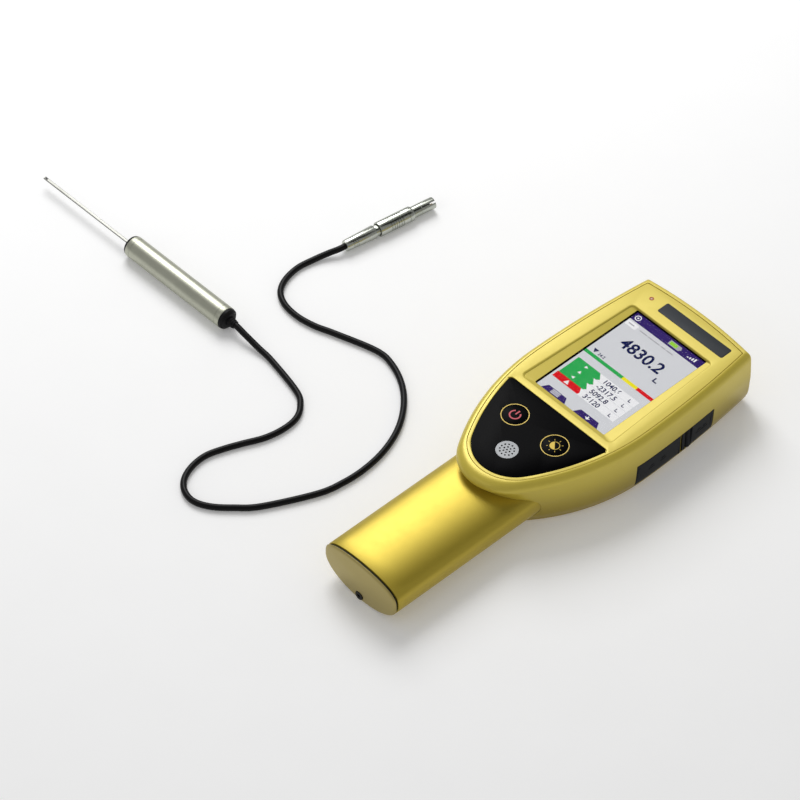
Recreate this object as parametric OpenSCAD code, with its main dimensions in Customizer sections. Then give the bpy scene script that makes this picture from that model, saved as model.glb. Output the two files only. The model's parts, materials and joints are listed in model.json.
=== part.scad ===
// Handheld probe meter with a loose needle probe on its own lead.
// X runs across the meter, Y along it towards the top of the head, Z up out of the display.
// The origin is on the flat back, under the line where the head is widest.

/* [Head] */
// Half of the head's greatest width
head_half_w = 44; // [42:0.5:54]
// Distance from the widest line up to the top end
head_top_y = 82.6; // [78:0.2:100]
// Distance from the widest line down to the tip of the nose
head_nose_l = 85; // [80:1:96]
// Thickness of the head, back to face
head_h = 36; // [33:0.5:44]
// Radius of the sides below the widest line
side_lower_r = 135; // [130:1:160]
// Radius of the sides below the widest line, low down where they draw in to the handle
side_low_r = 110; // [106:1:135]
// Radius of the sides above the widest line
side_upper_r = 610; // [500:10:800]
// Radius of the crowned top end
crown_r = 260; // [200:5:320]
// Radius of the two top corners
corner_r = 3; // [2:0.5:6]
// Height of the back cover's rim
cover_rim = 2.8; // [2.4:0.1:3.4]
// Thickness of the back cover's floor
floor_t = 2.2; // [1.6:0.1:2.2]
// Distance from the widest outline to the inner wall
wall_inset = 4.6; // [4.2:0.1:5.5]
// Thickness of the seal between the shell and the back cover
seal_t = 0.5; // [0.3:0.1:1]

/* [Front panel] */
// Distance from the outline to the edge of the inset panel
panel_inset = 4.8; // [4.4:0.1:6]
// Distance from the top end to the top edge of the panel
panel_top_inset = 4.6; // [4.2:0.1:6]
// Distance from the nose tip to the panel's lower tip
panel_nose_inset = 6.7; // [6:0.1:9]
// Thickness of the panel
panel_t = 1.6; // [1.4:0.1:2.2]
// Gap in the groove around the panel
groove_gap = 0.3; // [0.2:0.05:0.5]

/* [Display] */
// Width of the lit area
screen_w = 49; // [40:0.5:54]
// Height of the lit area
screen_l = 73.4; // [60:0.2:76]
// Centre of the lit area above the widest line
screen_y = 21.8; // [18:0.2:24]
// Thickness of the clear window
window_t = 0.8; // [0.6:0.1:1.2]
// Thickness of the liquid crystal panel
lcd_t = 1.9; // [1.5:0.1:2.5]
// Thickness of the frame that holds the lamp behind the panel
backlight_t = 1.4; // [1:0.1:2]

/* [Keypad] */
// Top edge of the keypad below the widest line
keypad_top = 22.8; // [21:0.2:26]
// Distance of the keypad's edge inside the panel's edge
keypad_margin = 2; // [1.5:0.1:3]
// Thickness of the keypad overlay
overlay_t = 0.75; // [0.6:0.05:0.9]
// Radius of each key's cap
key_r = 6.7; // [5.5:0.1:7.5]
// Distance from the middle to each key's centre
key_x = 14.5; // [10:0.5:18]
// Centre of the keys below the widest line
key_drop = 40; // [38:0.5:44]
// Travel of a key when it is pressed
key_travel = 0.4; // [0.2:0.05:0.6]
// Radius of the sound grille
grille_r = 5.9; // [5:0.1:6.5]
// Radius of each hole in the sound grille
grille_hole_r = 0.5; // [0.3:0.05:0.7]
// Centre of the sound grille below the widest line
grille_drop = 59.6; // [58:0.2:62]

/* [Name plate and lamp] */
// Width of the blank name plate
plate_w = 46.5; // [30:0.5:50]
// Height of the blank name plate
plate_l = 7.9; // [5:0.1:9]
// Distance of the name plate's centre to the right of the middle
plate_x = 6.3; // [0:0.1:8]
// Distance of the name plate's centre below the top end
plate_drop = 13.6; // [12:0.2:15]
// Radius of the status lamp
led_r = 1.25; // [0.8:0.05:2]
// Distance of the status lamp to the left of the middle
led_x = 25; // [22:0.5:28]

/* [Handle] */
// Width of the oval handle
handle_w = 52; // [48:1:63]
// Height of the oval handle
handle_h = 27; // [26:0.5:31]
// Distance from the widest line down to the end of the handle tube
handle_end_l = 158.5; // [150:0.5:190]
// Wall of the handle tube
handle_wall = 2; // [1.5:0.1:2.4]
// Depth of the handle tube inside the head, measured from the nose tip
handle_entry = 33; // [25:1:36]
// Straight thickness of the end cap
cap_t = 0.8; // [0.6:0.1:3]
// Height of the end cap's dome
cap_dome = 1.2; // [0.8:0.1:4]

/* [Battery] */
// Diameter of a cell
cell_d = 18.3; // [14:0.1:18.7]
// Length of a cell
cell_l = 65; // [45:0.5:66]
// Travel of the battery drawer
drawer_travel = 75; // [60:1:90]

/* [Side ports] */
// Lower end of the rear cover, measured from the widest line
cover_rear_end = -9; // [-12:0.5:-6]
// Upper end of the front cover, measured from the widest line
cover_front_end = 48; // [44:0.5:52]
// Middle of the strap between the two covers
strap_y = 26.5; // [24:0.5:29]
// Underside of the covers above the back
cover_z0 = 5; // [4.6:0.2:6]
// Height of the covers
cover_h = 15; // [13:0.5:16]
// Thickness of the covers
cover_t = 2.1; // [1.5:0.1:2.3]
// Radius of the covers' hinge pins
pin_r = 0.8; // [0.6:0.05:1]

/* [Probe socket] */
// Radius of the socket's bore
socket_bore_r = 3.45; // [3:0.05:5]
// Depth of the socket's bore
socket_depth = 14; // [12:0.5:18]
// Length of the contact block that stands in the bore
socket_insert_l = 5; // [3:0.5:6]
// Radius of the socket's threaded body
socket_body_r = 6; // [5.5:0.1:7]

/* [Probe] */
// Radius of the probe's barrel
barrel_r = 6.25; // [5:0.25:8]
// Length of the barrel between its caps
barrel_l = 74; // [60:1:90]
// Length of the flat stem
stem_l = 71; // [40:1:90]
// Width of the flat stem
stem_w = 1.7; // [1.5:0.1:4]
// Thickness of the flat stem
stem_t = 0.9; // [0.8:0.1:1.5]
// Left and right place of the barrel's front end
probe_x = -263; // [-300:1:-250]
// Place of the barrel's front end along the meter
probe_y = -86; // [-120:1:-60]
// Angle that the probe lies at
probe_turn = 1; // [-10:1:10]
// Diameter of the lead
lead_d = 3.5; // [2.5:0.1:4]

/* [Plug] */
// Radius of the plug's front shell
plug_nose_r = 3.4; // [3:0.05:4]
// Length of the plug's front shell
plug_nose_l = 14.5; // [12:0.5:18]
// Radius of the sliding sleeve
sleeve_r = 4.3; // [4:0.05:5]
// Length of the sliding sleeve
sleeve_l = 22; // [16:0.5:26]
// Travel of the sliding sleeve
sleeve_travel = 1.8; // [1:0.1:2]
// Length of the clamp nut on the plug's tail
nut_l = 19; // [14:0.5:22]
// Left and right place of the plug's tail
plug_x = -185.5; // [-200:0.5:-170]
// Place of the plug's tail along the meter
plug_y = -1.5; // [-20:0.5:20]
// Angle that the plug lies at, from the X direction
plug_turn = 82; // [60:1:120]

/* [Hidden] */
$fn = 48;

run_gap = 0.08;
part_gap = 0.35;

// Heights
shell_z = cover_rim + seal_t;
ledge_z = head_h - 5;
panel_z = head_h - panel_t;
overlay_z = head_h - overlay_t;
gasket_t = 0.3;
window_z = panel_z - gasket_t - window_t;
lcd_z = window_z - lcd_t;
backlight_z = lcd_z - backlight_t;
board_z = 9.4;
board_t = 1.6;
board_top = board_z + board_t;

// Outline centres
nose_y = -head_nose_l;
upper_cx = side_upper_r - head_half_w;
top_share = 0.7;

side_step = side_lower_r - side_low_r;
// Rings of the back cover: height, inset, how far the nose draws back, and the lower sides' radius
COVER_LEVELS = [
    [0, 5.3, 12, side_low_r], [1.2, 3.4, 10, side_low_r], [cover_rim, 2.4, 8.5, side_low_r]
];
// Rings of the shell, the same way, from the seal up round the shoulder to the flat rim
SHELL_LEVELS = [
    [shell_z, 2.1, 8.2, side_low_r], [8, 0.7, 7.5, side_low_r],
    [15, 0.2, 7, side_low_r + 0.1 * side_step], [20, 0, 6, side_low_r + 0.3 * side_step],
    [head_h - 9, 0.25, 3.2, side_low_r + 0.7 * side_step],
    [head_h - 5, 0.5, 0, side_lower_r], [head_h - 2.5, 1.3, 0.9, side_lower_r],
    [head_h - 1, 2.4, 2.1, side_lower_r], [head_h - 0.3, 3.4, 3.3, side_lower_r],
    [head_h, 4.3, 4.5, side_lower_r]
];

function arc_open(c, r, a0, a1, n) =
    [for (i = [0:n - 1]) let (a = a0 + (a1 - a0) * i / n) c + r * [cos(a), sin(a)]];

// Centre of the corner circle that touches the upper side arc and the crown from inside
function corner_centre(us, cr, cy, rc) = let (
        span = norm([upper_cx, cy]),
        reach = us - rc,
        along = (reach * reach - (cr - rc) * (cr - rc) + span * span) / (2 * span),
        out = sqrt(reach * reach - along * along),
        dir = [upper_cx, cy] / span
    ) [-upper_cx, 0] + along * dir + out * [-dir.y, dir.x];

// Right half of the head's outline, from the nose tip up to the middle of the crown
function half_outline(inset, tip, top, side_r) = let (
        lower_cx = side_r - head_half_w,
        ls = side_r - inset,
        us = side_upper_r - inset,
        nr = (ls * ls - lower_cx * lower_cx - tip * tip) / (2 * (ls + tip)),
        cn = nr + tip,
        an = atan2(cn, lower_cx),
        cr = crown_r - inset,
        cy = top - cr,
        rc = max(1, corner_r - inset),
        k = corner_centre(us, cr, cy, rc),
        ak = atan2(k.y, k.x + upper_cx),
        ac = atan2(k.y - cy, k.x)
    ) concat(
        arc_open([0, cn], nr, -90, an, 6),
        arc_open([-lower_cx, 0], ls, an, 0, 8),
        arc_open([-upper_cx, 0], us, 0, ak, 5),
        arc_open(k, rc, ak, ac, 3),
        arc_open([0, cy], cr, ac, 90, 5),
        [[0, top]]
    );

function outline(inset, tip, top, side_r = side_lower_r) =
    let (h = half_outline(inset, tip, top, side_r), m = len(h))
    concat(h, [for (i = [m - 2:-1:1]) [-h[i].x, h[i].y]]);

// Half-width of the head at a place above the widest line
function side_x(y, inset) = sqrt(pow(side_upper_r - inset, 2) - y * y) - upper_cx;

function top_at(inset) = head_top_y - top_share * inset;

// Oval section of the handle, drawn in from its outside by an inset
function oval(inset) = let (
        a = handle_w / 2 - inset,
        low = handle_h * 0.537 - inset,
        high = handle_h * 0.463 - inset,
        zc = handle_h * 0.537
    ) [for (i = [0:47]) let (t = 7.5 * i, s = sin(t))
        [a * cos(t), zc + (s > 0 ? high * pow(s, 0.566) : low * s)]];

module slab(inset, tip, top, z0, z1, side_r = side_lower_r)
    translate([0, 0, z0]) linear_extrude(z1 - z0) polygon(outline(inset, tip, top, side_r));

// Solid lofted through head outlines at a list of levels
module loft(levels) {
    rings = [for (l = levels) outline(l[1], nose_y + l[2], top_at(l[1]), l[3])];
    n = len(rings[0]);
    m = len(levels);
    points = [for (j = [0:m - 1]) for (p = rings[j]) [p.x, p.y, levels[j][0]]];
    walls = [for (j = [0:m - 2]) for (i = [0:n - 1]) for (half = [0:1])
        let (a = j * n + i, b = j * n + (i + 1) % n)
        half == 0 ? [a, b + n, b] : [a, a + n, b + n]];
    bottom = [for (i = [0:n - 1]) i];
    lid = [for (i = [n - 1:-1:0]) (m - 1) * n + i];
    polyhedron(points = points, faces = concat([bottom, lid], walls));
}

// Straight length of the handle's oval between two places along Y
module oval_bar(inset, y0, y1)
    translate([0, y1, 0]) rotate([90, 0, 0]) linear_extrude(y1 - y0) polygon(oval(inset));

module box(x0, x1, y0, y1, z0, z1)
    translate([x0, y0, z0]) cube([x1 - x0, y1 - y0, z1 - z0]);

module plate_box(cx, cy, w, l, z0, z1)
    box(cx - w / 2, cx + w / 2, cy - l / 2, cy + l / 2, z0, z1);

// Cylinder along Y from y0 to y1
module y_rod(x, z, r, y0, y1)
    translate([x, y0, z]) rotate([-90, 0, 0]) cylinder(r = r, h = y1 - y0);

// ---------------------------------------------------------------- casing

post_r = 3.6;
screw_r = 1.4;
screw_head_r = 2.7;
screw_head_t = 1.5;
screw_l = 12;
POSTS = [
    [head_half_w - 12.5, head_top_y - 16], [12.5 - head_half_w, head_top_y - 16],
    [head_half_w - 17, nose_y + 41], [17 - head_half_w, nose_y + 41]
];
BOARD_POSTS = [
    [22, head_top_y - 30], [-22, head_top_y - 30], [20, nose_y + 47], [-20, nose_y + 47]
];
post_top = panel_z - 0.6;

handle_in_y = nose_y + handle_entry;
socket_z = 18;
socket_front = head_top_y + 1.5;

cover_gap = 0.3;
hinge_side = head_half_w - 3.1;
hinge_rear_y = strap_y - 3.5;
hinge_front_y = strap_y + 3.5;
knuckle_r = 1.5;
pocket_r = 1.9;
pin_z0 = 3.8;
pin_z1 = cover_z0 + cover_h + 1.5;
recess_depth = cover_t + cover_gap;

// Opening for the handle through the head's nose, without feather edges at the back
module handle_cut() {
    oval_bar(-0.15, nose_y - 5, handle_in_y + 0.3);
    box(-handle_w * 0.3, handle_w * 0.3, nose_y - 5, handle_in_y + 0.3, -1, floor_t);
}

// Part of the wall's outside that the covers lie in
module side_recess(inset, y0, y1, z0, z1)
    difference() {
        box(head_half_w - 14, head_half_w + 10, y0, y1, z0, z1);
        slab(inset, nose_y, head_top_y, z0 - 1, z1 + 1);
    }

usb_y = 13.5;
jack_y = -1;
card_y = 39.5;

module front_shell() color([0.82, 0.72, 0.28]) difference() {
    union() {
        difference() {
            loft(SHELL_LEVELS);
            slab(wall_inset, nose_y + 13, top_at(0) - wall_inset, shell_z - 1, ledge_z, side_low_r);
            slab(panel_inset + 1.8, nose_y + panel_nose_inset + 1.8,
                head_top_y - panel_top_inset - 2.2, ledge_z - 1, panel_z + 1);
            slab(panel_inset - groove_gap, nose_y + panel_nose_inset - groove_gap,
                head_top_y - panel_top_inset + groove_gap, panel_z, head_h + 1);
        }
        for (p = POSTS) translate([p.x, p.y, shell_z]) cylinder(r = post_r, h = post_top - shell_z);
        for (s = [0, 1]) mirror([s, 0, 0])
            box(POSTS[0].x, POSTS[0].x + 5.5, POSTS[0].y - 0.8, POSTS[0].y + 0.8, shell_z, post_top);
        box(hinge_side - 5.4, hinge_side - 1, strap_y - 6.4, strap_y + 6.4, shell_z, pin_z1 + 2);
    }
    oval_bar(-0.15, nose_y - 5, handle_in_y + 0.3);
    for (p = POSTS) translate([p.x, p.y, shell_z - 1]) cylinder(r = screw_r + 0.05, h = screw_l);
    side_recess(recess_depth, cover_rear_end - cover_gap, cover_front_end + cover_gap,
        cover_z0 - cover_gap, cover_z0 + cover_h + cover_gap);
    for (y = [hinge_rear_y, hinge_front_y]) translate([hinge_side, y, 0]) {
        translate([0, 0, cover_z0 - cover_gap]) cylinder(r = pocket_r, h = cover_h + 2 * cover_gap);
        translate([0, 0, pin_z0]) cylinder(r = pin_r + run_gap, h = pin_z1 - pin_z0);
    }
    box(head_half_w - 8, head_half_w, usb_y - 4.2, usb_y + 4.2, board_top - 0.2, board_top + 3.2);
    translate([head_half_w - 8, jack_y, board_top + 3.4]) rotate([0, 90, 0]) cylinder(r = 3.2, h = 8);
    box(head_half_w - 10, head_half_w, card_y - 6, card_y + 6, board_top - 0.2, board_top + 2.2);
    y_rod(0, socket_z, socket_body_r + 0.1, head_top_y - 8, head_top_y + 2);
}

module back_cover() color([0.7, 0.6, 0.2]) difference() {
    union() {
        difference() {
            loft(COVER_LEVELS);
            slab(wall_inset, nose_y + 13, top_at(0) - wall_inset, floor_t, cover_rim + 1, side_low_r);
        }
        for (p = POSTS) translate([p.x, p.y, 1]) cylinder(r = post_r, h = shell_z - 1);
        for (p = BOARD_POSTS) translate([p.x, p.y, 1]) cylinder(r = 3, h = board_z - 1);
    }
    handle_cut();
    for (p = POSTS) translate([p.x, p.y, -1]) {
        cylinder(r = screw_r + 0.2, h = shell_z + 2);
        cylinder(r = screw_head_r + 0.3, h = screw_head_t + 1.2);
    }
    for (p = BOARD_POSTS) translate([p.x, p.y, floor_t]) cylinder(r = 0.9, h = board_z);
    plate_box(0, 10, 44.4, 30.4, -1, 0.35);
}

module casing_seal() color([0.12, 0.12, 0.11]) difference() {
    slab(2.6, nose_y + 9.2, head_top_y - 2, cover_rim, shell_z, side_low_r);
    slab(4.5, nose_y + 12.8, head_top_y - 4.5, cover_rim - 1, shell_z + 1, side_low_r);
    for (p = POSTS) translate([p.x, p.y, cover_rim - 1]) cylinder(r = post_r + 0.05, h = 3);
    oval_bar(-0.15, nose_y - 5, handle_in_y + 0.3);
}

module casing_screws() color([0.6, 0.6, 0.62])
    for (p = POSTS) translate([p.x, p.y, 0]) difference() {
        union() {
            cylinder_up(screw_head_r, 0.2, screw_head_t + 0.2);
            cylinder_up(screw_r, screw_head_t, shell_z + screw_l - 2);
        }
        translate([0, 0, -0.8]) cylinder(r = 1.1, h = 2, $fn = 6);
    }

module cylinder_up(r, z0, z1)
    translate([0, 0, z0]) cylinder(r = r, h = z1 - z0);

// ---------------------------------------------------------------- front panel

// Corners of the display's sloped opening at a share of the panel's depth, 0 behind and 1 in front
function funnel(share) = let (
        hw = screen_w / 2 + 0.7,
        y0 = screen_y - screen_l / 2 - 0.7,
        y1 = screen_y + screen_l / 2 + 0.4,
        low = hw + 7.2 * share,
        high = hw + 3.8 * share
    ) [[-low, y0 - 2.6 * share], [low, y0 - 2.6 * share], [high, y1], [-high, y1]];

// Solid between four corners below and four corners above
module four_corner(low, high, z0, z1)
    polyhedron(
        points = concat([for (p = low) [p.x, p.y, z0]], [for (p = high) [p.x, p.y, z1]]),
        faces = concat([[0, 1, 2, 3], [7, 6, 5, 4]],
            [for (i = [0:3]) [i, i + 4, (i + 1) % 4]],
            [for (i = [0:3]) [i + 4, (i + 1) % 4 + 4, (i + 1) % 4]]));

// Keypad outline as a slab, drawn in by an inset
module pad_slab(inset, z0, z1) {
    edge = panel_inset + keypad_margin + inset;
    intersection() {
        slab(edge, nose_y + panel_nose_inset + keypad_margin + inset, head_top_y - 20, z0, z1);
        box(-head_half_w, head_half_w, nose_y, -keypad_top - inset, z0 - 1, z1 + 1);
    }
}

KEYS = [[-key_x, -key_drop], [key_x, -key_drop]];
pad_board_top = panel_z - 2.4;
PAD_POSTS = [[-26, -keypad_top - 7], [26, -keypad_top - 7], [0, -keypad_top - 7]];

module bezel_panel() color([0.87, 0.79, 0.36]) difference() {
    union() {
        slab(panel_inset, nose_y + panel_nose_inset, head_top_y - panel_top_inset, panel_z, head_h);
        for (p = PAD_POSTS) translate([p.x, p.y, 0]) cylinder_up(1.5, pad_board_top, panel_z + 0.2);
    }
    four_corner(funnel(-0.25), funnel(1.25), panel_z - 0.25 * panel_t, head_h + 0.25 * panel_t);
    pad_slab(-0.15, overlay_z, head_h + 1);
    for (k = KEYS) translate([k.x, k.y, panel_z - 1]) cylinder(r = key_r + 0.7, h = panel_t + 2);
    translate([0, -grille_drop, panel_z - 1]) cylinder(r = 3, h = panel_t + 2);
    plate_box(plate_x, head_top_y - plate_drop, plate_w + 0.2, plate_l + 0.2, head_h - 0.4, head_h + 1);
    translate([-led_x, head_top_y - plate_drop, panel_z - 1]) cylinder(r = led_r + 0.5, h = panel_t + 2);
}

module frame_ring(w, l, cy, hole_w, hole_l, z0, z1) difference() {
    plate_box(0, cy, w, l, z0, z1);
    plate_box(0, cy, hole_w, hole_l, z0 - 1, z1 + 1);
}

module display_gasket() color([0.1, 0.1, 0.1])
    frame_ring(screen_w + 7, screen_l + 7, screen_y, screen_w + 2.4, screen_l + 2, panel_z - gasket_t,
        panel_z);

module display_window() color([0.85, 0.9, 0.92, 0.35])
    plate_box(0, screen_y, screen_w + 7, screen_l + 7, window_z, panel_z - gasket_t);

module lcd_panel() color([0.8, 0.82, 0.84])
    plate_box(0, screen_y - 1.2, screen_w + 5, screen_l + 8, lcd_z, window_z);

module backlight_frame() color([0.92, 0.92, 0.9])
    plate_box(0, screen_y - 1.2, screen_w + 6, screen_l + 9, backlight_z, lcd_z);

ribbon_y = screen_y - screen_l / 2 - 3;
module display_ribbon() color([0.72, 0.5, 0.16]) {
    box(-9, 9, ribbon_y - 4, ribbon_y - 3.7, board_top, backlight_z - 0.1);
    box(-9, 9, ribbon_y - 3.8, ribbon_y + 5, backlight_z - 0.4, backlight_z - 0.1);
    box(-9, 9, ribbon_y - 3.8, ribbon_y + 3, board_top, board_top + 0.3);
}

module keypad_overlay() color([0.03, 0.03, 0.04]) difference() {
    pad_slab(0, overlay_z, head_h);
    for (k = KEYS) translate([k.x, k.y, overlay_z - 1]) cylinder(r = key_r + 0.3, h = overlay_t + 2);
    translate([0, -grille_drop, overlay_z + 0.3]) cylinder(r = grille_r + 0.1, h = 1);
    translate([0, -grille_drop, overlay_z - 1]) cylinder(r = 3, h = overlay_t + 2);
}

module key_rings() color([0.8, 0.66, 0.3])
    for (k = KEYS) translate([k.x, k.y, head_h]) difference() {
        cylinder(r = key_r + 0.75, h = 0.12);
        translate([0, 0, -1]) cylinder(r = key_r + 0.3, h = 2);
    }

module key(p) translate([p.x, p.y, 0]) {
    cylinder_up(key_r, overlay_z + 0.05, head_h + 0.05);
    cylinder_up(2.2, pad_board_top + 1.4, overlay_z + 0.1);
}

module power_key() color([0.04, 0.04, 0.05]) key(KEYS[0]);

module light_key() color([0.05, 0.05, 0.04]) key(KEYS[1]);

module keypad_board() color([0.08, 0.32, 0.18]) difference() {
    pad_slab(4, pad_board_top - 1.6, pad_board_top);
    translate([0, -grille_drop, pad_board_top - 3]) cylinder(r = 6.6, h = 5);
    for (p = POSTS) translate([p.x, p.y, pad_board_top - 3]) cylinder(r = post_r + 0.4, h = 5);
}

module key_domes() color([0.78, 0.78, 0.76])
    for (k = KEYS) translate([k.x, k.y, pad_board_top]) {
        cylinder(r = 3.2, h = 0.25);
        cylinder(r1 = 2.6, r2 = 1.8, h = 0.6);
    }

module buzzer_grille() color([0.75, 0.77, 0.78]) translate([0, -grille_drop, 0]) difference() {
    cylinder_up(grille_r, overlay_z + 0.3, head_h + 0.1);
    for (ring = [1:2]) for (i = [0:6 * ring - 1]) rotate([0, 0, 60 * i / ring])
        translate([grille_r * 0.32 * ring, 0, overlay_z]) cylinder(r = grille_hole_r, h = 2);
    translate([0, 0, overlay_z]) cylinder(r = grille_hole_r, h = 2);
}

module buzzer() color([0.1, 0.1, 0.1]) translate([0, -grille_drop, 0]) difference() {
    cylinder_up(6, panel_z - 4, panel_z);
    cylinder_up(1.2, panel_z - 1.5, panel_z + 1);
}

module name_plate() color([0.2, 0.24, 0.3])
    plate_box(plate_x, head_top_y - plate_drop, plate_w, plate_l, head_h - 0.4, head_h + 0.08);

module status_lamp() color([0.75, 0.1, 0.08])
    translate([-led_x, head_top_y - plate_drop, 0]) {
        cylinder_up(led_r, panel_z - 1.4, head_h + 0.1);
        cylinder_up(led_r + 0.4, panel_z, head_h + 0.02);
    }

// ---------------------------------------------------------------- inside the head

board_y0 = nose_y + 39;
board_y1 = head_top_y - 18;

module main_board() color([0.06, 0.3, 0.16]) difference() {
    intersection() {
        slab(9, nose_y + 15, head_top_y - 9, board_z, board_top, side_low_r);
        box(-head_half_w, head_half_w, board_y0, board_y1, board_z - 1, board_top + 1);
    }
    for (p = POSTS) translate([p.x, p.y, board_z - 1]) cylinder(r = post_r + 0.6, h = 4);
    for (p = BOARD_POSTS) translate([p.x, p.y, board_z - 1]) cylinder(r = 1.2, h = 4);
    box(hinge_side - 6, head_half_w, strap_y - 7, strap_y + 7, board_z - 1, board_top + 1);
}

module board_screws() color([0.7, 0.7, 0.72])
    for (p = BOARD_POSTS) translate([p.x, p.y, 0]) {
        cylinder_up(0.85, floor_t + 1, board_top + 0.1);
        cylinder_up(2.1, board_top, board_top + 1.3);
    }

module processor_chip() color([0.08, 0.08, 0.09])
    plate_box(-8, screen_y, 14, 14, board_top, board_top + 1.6);

module shield_can() color([0.75, 0.76, 0.78])
    plate_box(0, head_top_y - 28, 30, 16, board_top, board_top + 4);

module board_parts() color([0.1, 0.1, 0.1]) {
    for (i = [0:3]) plate_box(-26, 2 + 10 * i, 5, 6, board_top, board_top + 1.4);
    for (i = [0:2]) translate([12 - 8 * i, -8, board_top]) cylinder(r = 2.5, h = 6);
    plate_box(14, 4, 9, 7, board_top, board_top + 2);
}

socket_side = head_half_w - 3.2;
card_side = side_x(card_y + 6.3, wall_inset) - 0.3;

module usb_socket() color([0.76, 0.77, 0.78]) difference() {
    box(socket_side - 8, socket_side, usb_y - 3.8, usb_y + 3.8, board_top, board_top + 2.9);
    box(socket_side - 6.5, socket_side + 1, usb_y - 3.3, usb_y + 3.3, board_top + 0.5, board_top + 2.4);
}

module charge_jack() color([0.09, 0.09, 0.1])
    difference() {
        box(socket_side - 12, socket_side - 2.2, jack_y - 4.2, jack_y + 4.2, board_top, board_top + 7);
        translate([socket_side - 11, jack_y, board_top + 3.4]) rotate([0, 90, 0]) difference() {
            cylinder(r = 2.75, h = 10);
            translate([0, 0, -1]) cylinder(r = 0.9, h = 9);
        }
    }

module card_slot() color([0.74, 0.75, 0.76]) difference() {
    box(card_side - 12.5, card_side, card_y - 6.3, card_y + 6.3, board_top, board_top + 2);
    box(card_side - 11.5, card_side + 1, card_y - 5.5, card_y + 5.5, board_top + 0.6, board_top + 1.5);
}

socket_back = socket_front - socket_depth;
insert_front = socket_back + socket_insert_l;

module probe_socket() color([0.7, 0.71, 0.68]) difference() {
    union() {
        y_rod(0, socket_z, socket_body_r, socket_back - 2, socket_front);
        y_rod(0, socket_z, socket_body_r + 2, head_top_y, socket_front);
    }
    y_rod(0, socket_z, socket_bore_r, insert_front + 0.7, socket_front + 1);
    y_rod(0, socket_z, socket_bore_r + 0.2, socket_back, insert_front + 0.7);
    y_rod(0, socket_z, socket_bore_r - 0.4, socket_back - 3, socket_back + 0.1);
}

// Contact block: seated at the back of the bore, and standing in it to enter the plug's front shell
module socket_insert() color([0.12, 0.12, 0.12]) difference() {
    union() {
        y_rod(0, socket_z, socket_bore_r - 0.4, socket_back - 2, socket_back);
        y_rod(0, socket_z, socket_bore_r - 0.8, socket_back - 0.1, insert_front);
    }
    for (i = [0:4]) rotate_y_place(72 * i) y_rod(1.6, 0, 0.4, socket_back - 1.5, insert_front + 1);
}

module rotate_y_place(a)
    translate([0, 0, socket_z]) rotate([0, a, 0]) children();

module socket_nut() color([0.74, 0.74, 0.72]) difference() {
    translate([0, head_top_y - wall_inset - 3, socket_z]) rotate([-90, 0, 0])
        cylinder(r = socket_body_r + 2.4, h = 2.6, $fn = 6);
    y_rod(0, socket_z, socket_body_r + 0.05, head_top_y - wall_inset - 5, head_top_y);
}

// ---------------------------------------------------------------- side covers

// Plate between two places, following the wall, with a bored knuckle at its hinge
module port_cover(y0, y1, hinge_y) difference() {
    union() {
        difference() {
            intersection() {
                loft(SHELL_LEVELS);
                box(head_half_w - 14, head_half_w + 5, y0, y1, cover_z0, cover_z0 + cover_h);
            }
            slab(cover_t, nose_y, head_top_y, 0, head_h);
        }
        translate([hinge_side, hinge_y, cover_z0]) cylinder(r = knuckle_r, h = cover_h);
        box(hinge_side + 0.2, hinge_side + 1.3, min(hinge_y, y1 - 0.5), max(hinge_y, y0 + 0.5),
            cover_z0, cover_z0 + cover_h);
    }
    translate([hinge_side, hinge_y, cover_z0 - 1]) cylinder(r = pin_r + run_gap, h = cover_h + 2);
}

module port_cover_rear() color([0.07, 0.08, 0.1])
    port_cover(cover_rear_end, hinge_rear_y - 1.3, hinge_rear_y);

module port_cover_front() color([0.07, 0.08, 0.1])
    port_cover(hinge_front_y + 1.3, cover_front_end, hinge_front_y);

module cover_pins() color([0.7, 0.7, 0.72])
    for (y = [hinge_rear_y, hinge_front_y]) translate([hinge_side, y, 0])
        cylinder_up(pin_r, pin_z0, pin_z1);

module cover_anchor() color([0.07, 0.08, 0.1]) difference() {
    intersection() {
        slab(recess_depth - 0.9, nose_y, head_top_y, cover_z0, cover_z0 + cover_h);
        box(head_half_w - 6, head_half_w + 5, strap_y - 1, strap_y + 1, cover_z0, cover_z0 + cover_h);
    }
    slab(recess_depth, nose_y, head_top_y, cover_z0 - 1, cover_z0 + cover_h + 1);
}

// ---------------------------------------------------------------- handle and battery drawer

tube_end = -handle_end_l;
seal_y0 = tube_end - part_gap - 0.9;
cap_y = seal_y0 - cap_t;
cell_z = handle_h / 2;
cell_x = cell_d / 2 + 0.65;
cell_y0 = seal_y0 + 2.4;
cell_y1 = cell_y0 + cell_l;
cap_screw_z = 4;
cap_screw_r = 1.2;
boss_r = 2.6;
boss_l = 10;
contact_y = cell_y1 + 6.4;

module handle_tube() color([0.74, 0.64, 0.24]) difference() {
    union() {
        difference() {
            oval_bar(0, tube_end, handle_in_y);
            oval_bar(handle_wall, tube_end - 1, handle_in_y + 1);
        }
        y_rod(0, cap_screw_z, boss_r, tube_end, tube_end + boss_l);
    }
    y_rod(0, cap_screw_z, cap_screw_r + part_gap, tube_end - 1, tube_end + boss_l + 1);
}

module handle_bracket() color([0.66, 0.67, 0.7]) difference() {
    union() {
        oval_bar(handle_wall + 0.05, handle_in_y - 8, handle_in_y - 6);
        box(-6, 6, handle_in_y - 7, handle_in_y + 1, 2.9, 4.5);
        box(-15, 15, handle_in_y + 0.1, handle_in_y + 5, 2.9, 4.5);
    }
    y_rod(0, handle_h / 2, 4, handle_in_y - 9, handle_in_y - 5);
    for (x = [-10, 10]) translate([x, handle_in_y + 2.6, 0]) cylinder(r = 1.25, h = 8);
}

module handle_screws() color([0.7, 0.7, 0.72])
    for (x = [-10, 10]) translate([x, handle_in_y + 2.6, 0]) {
        cylinder_up(1.2, floor_t, 4.6);
        cylinder_up(2.2, 4.5, 5.9);
    }

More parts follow.
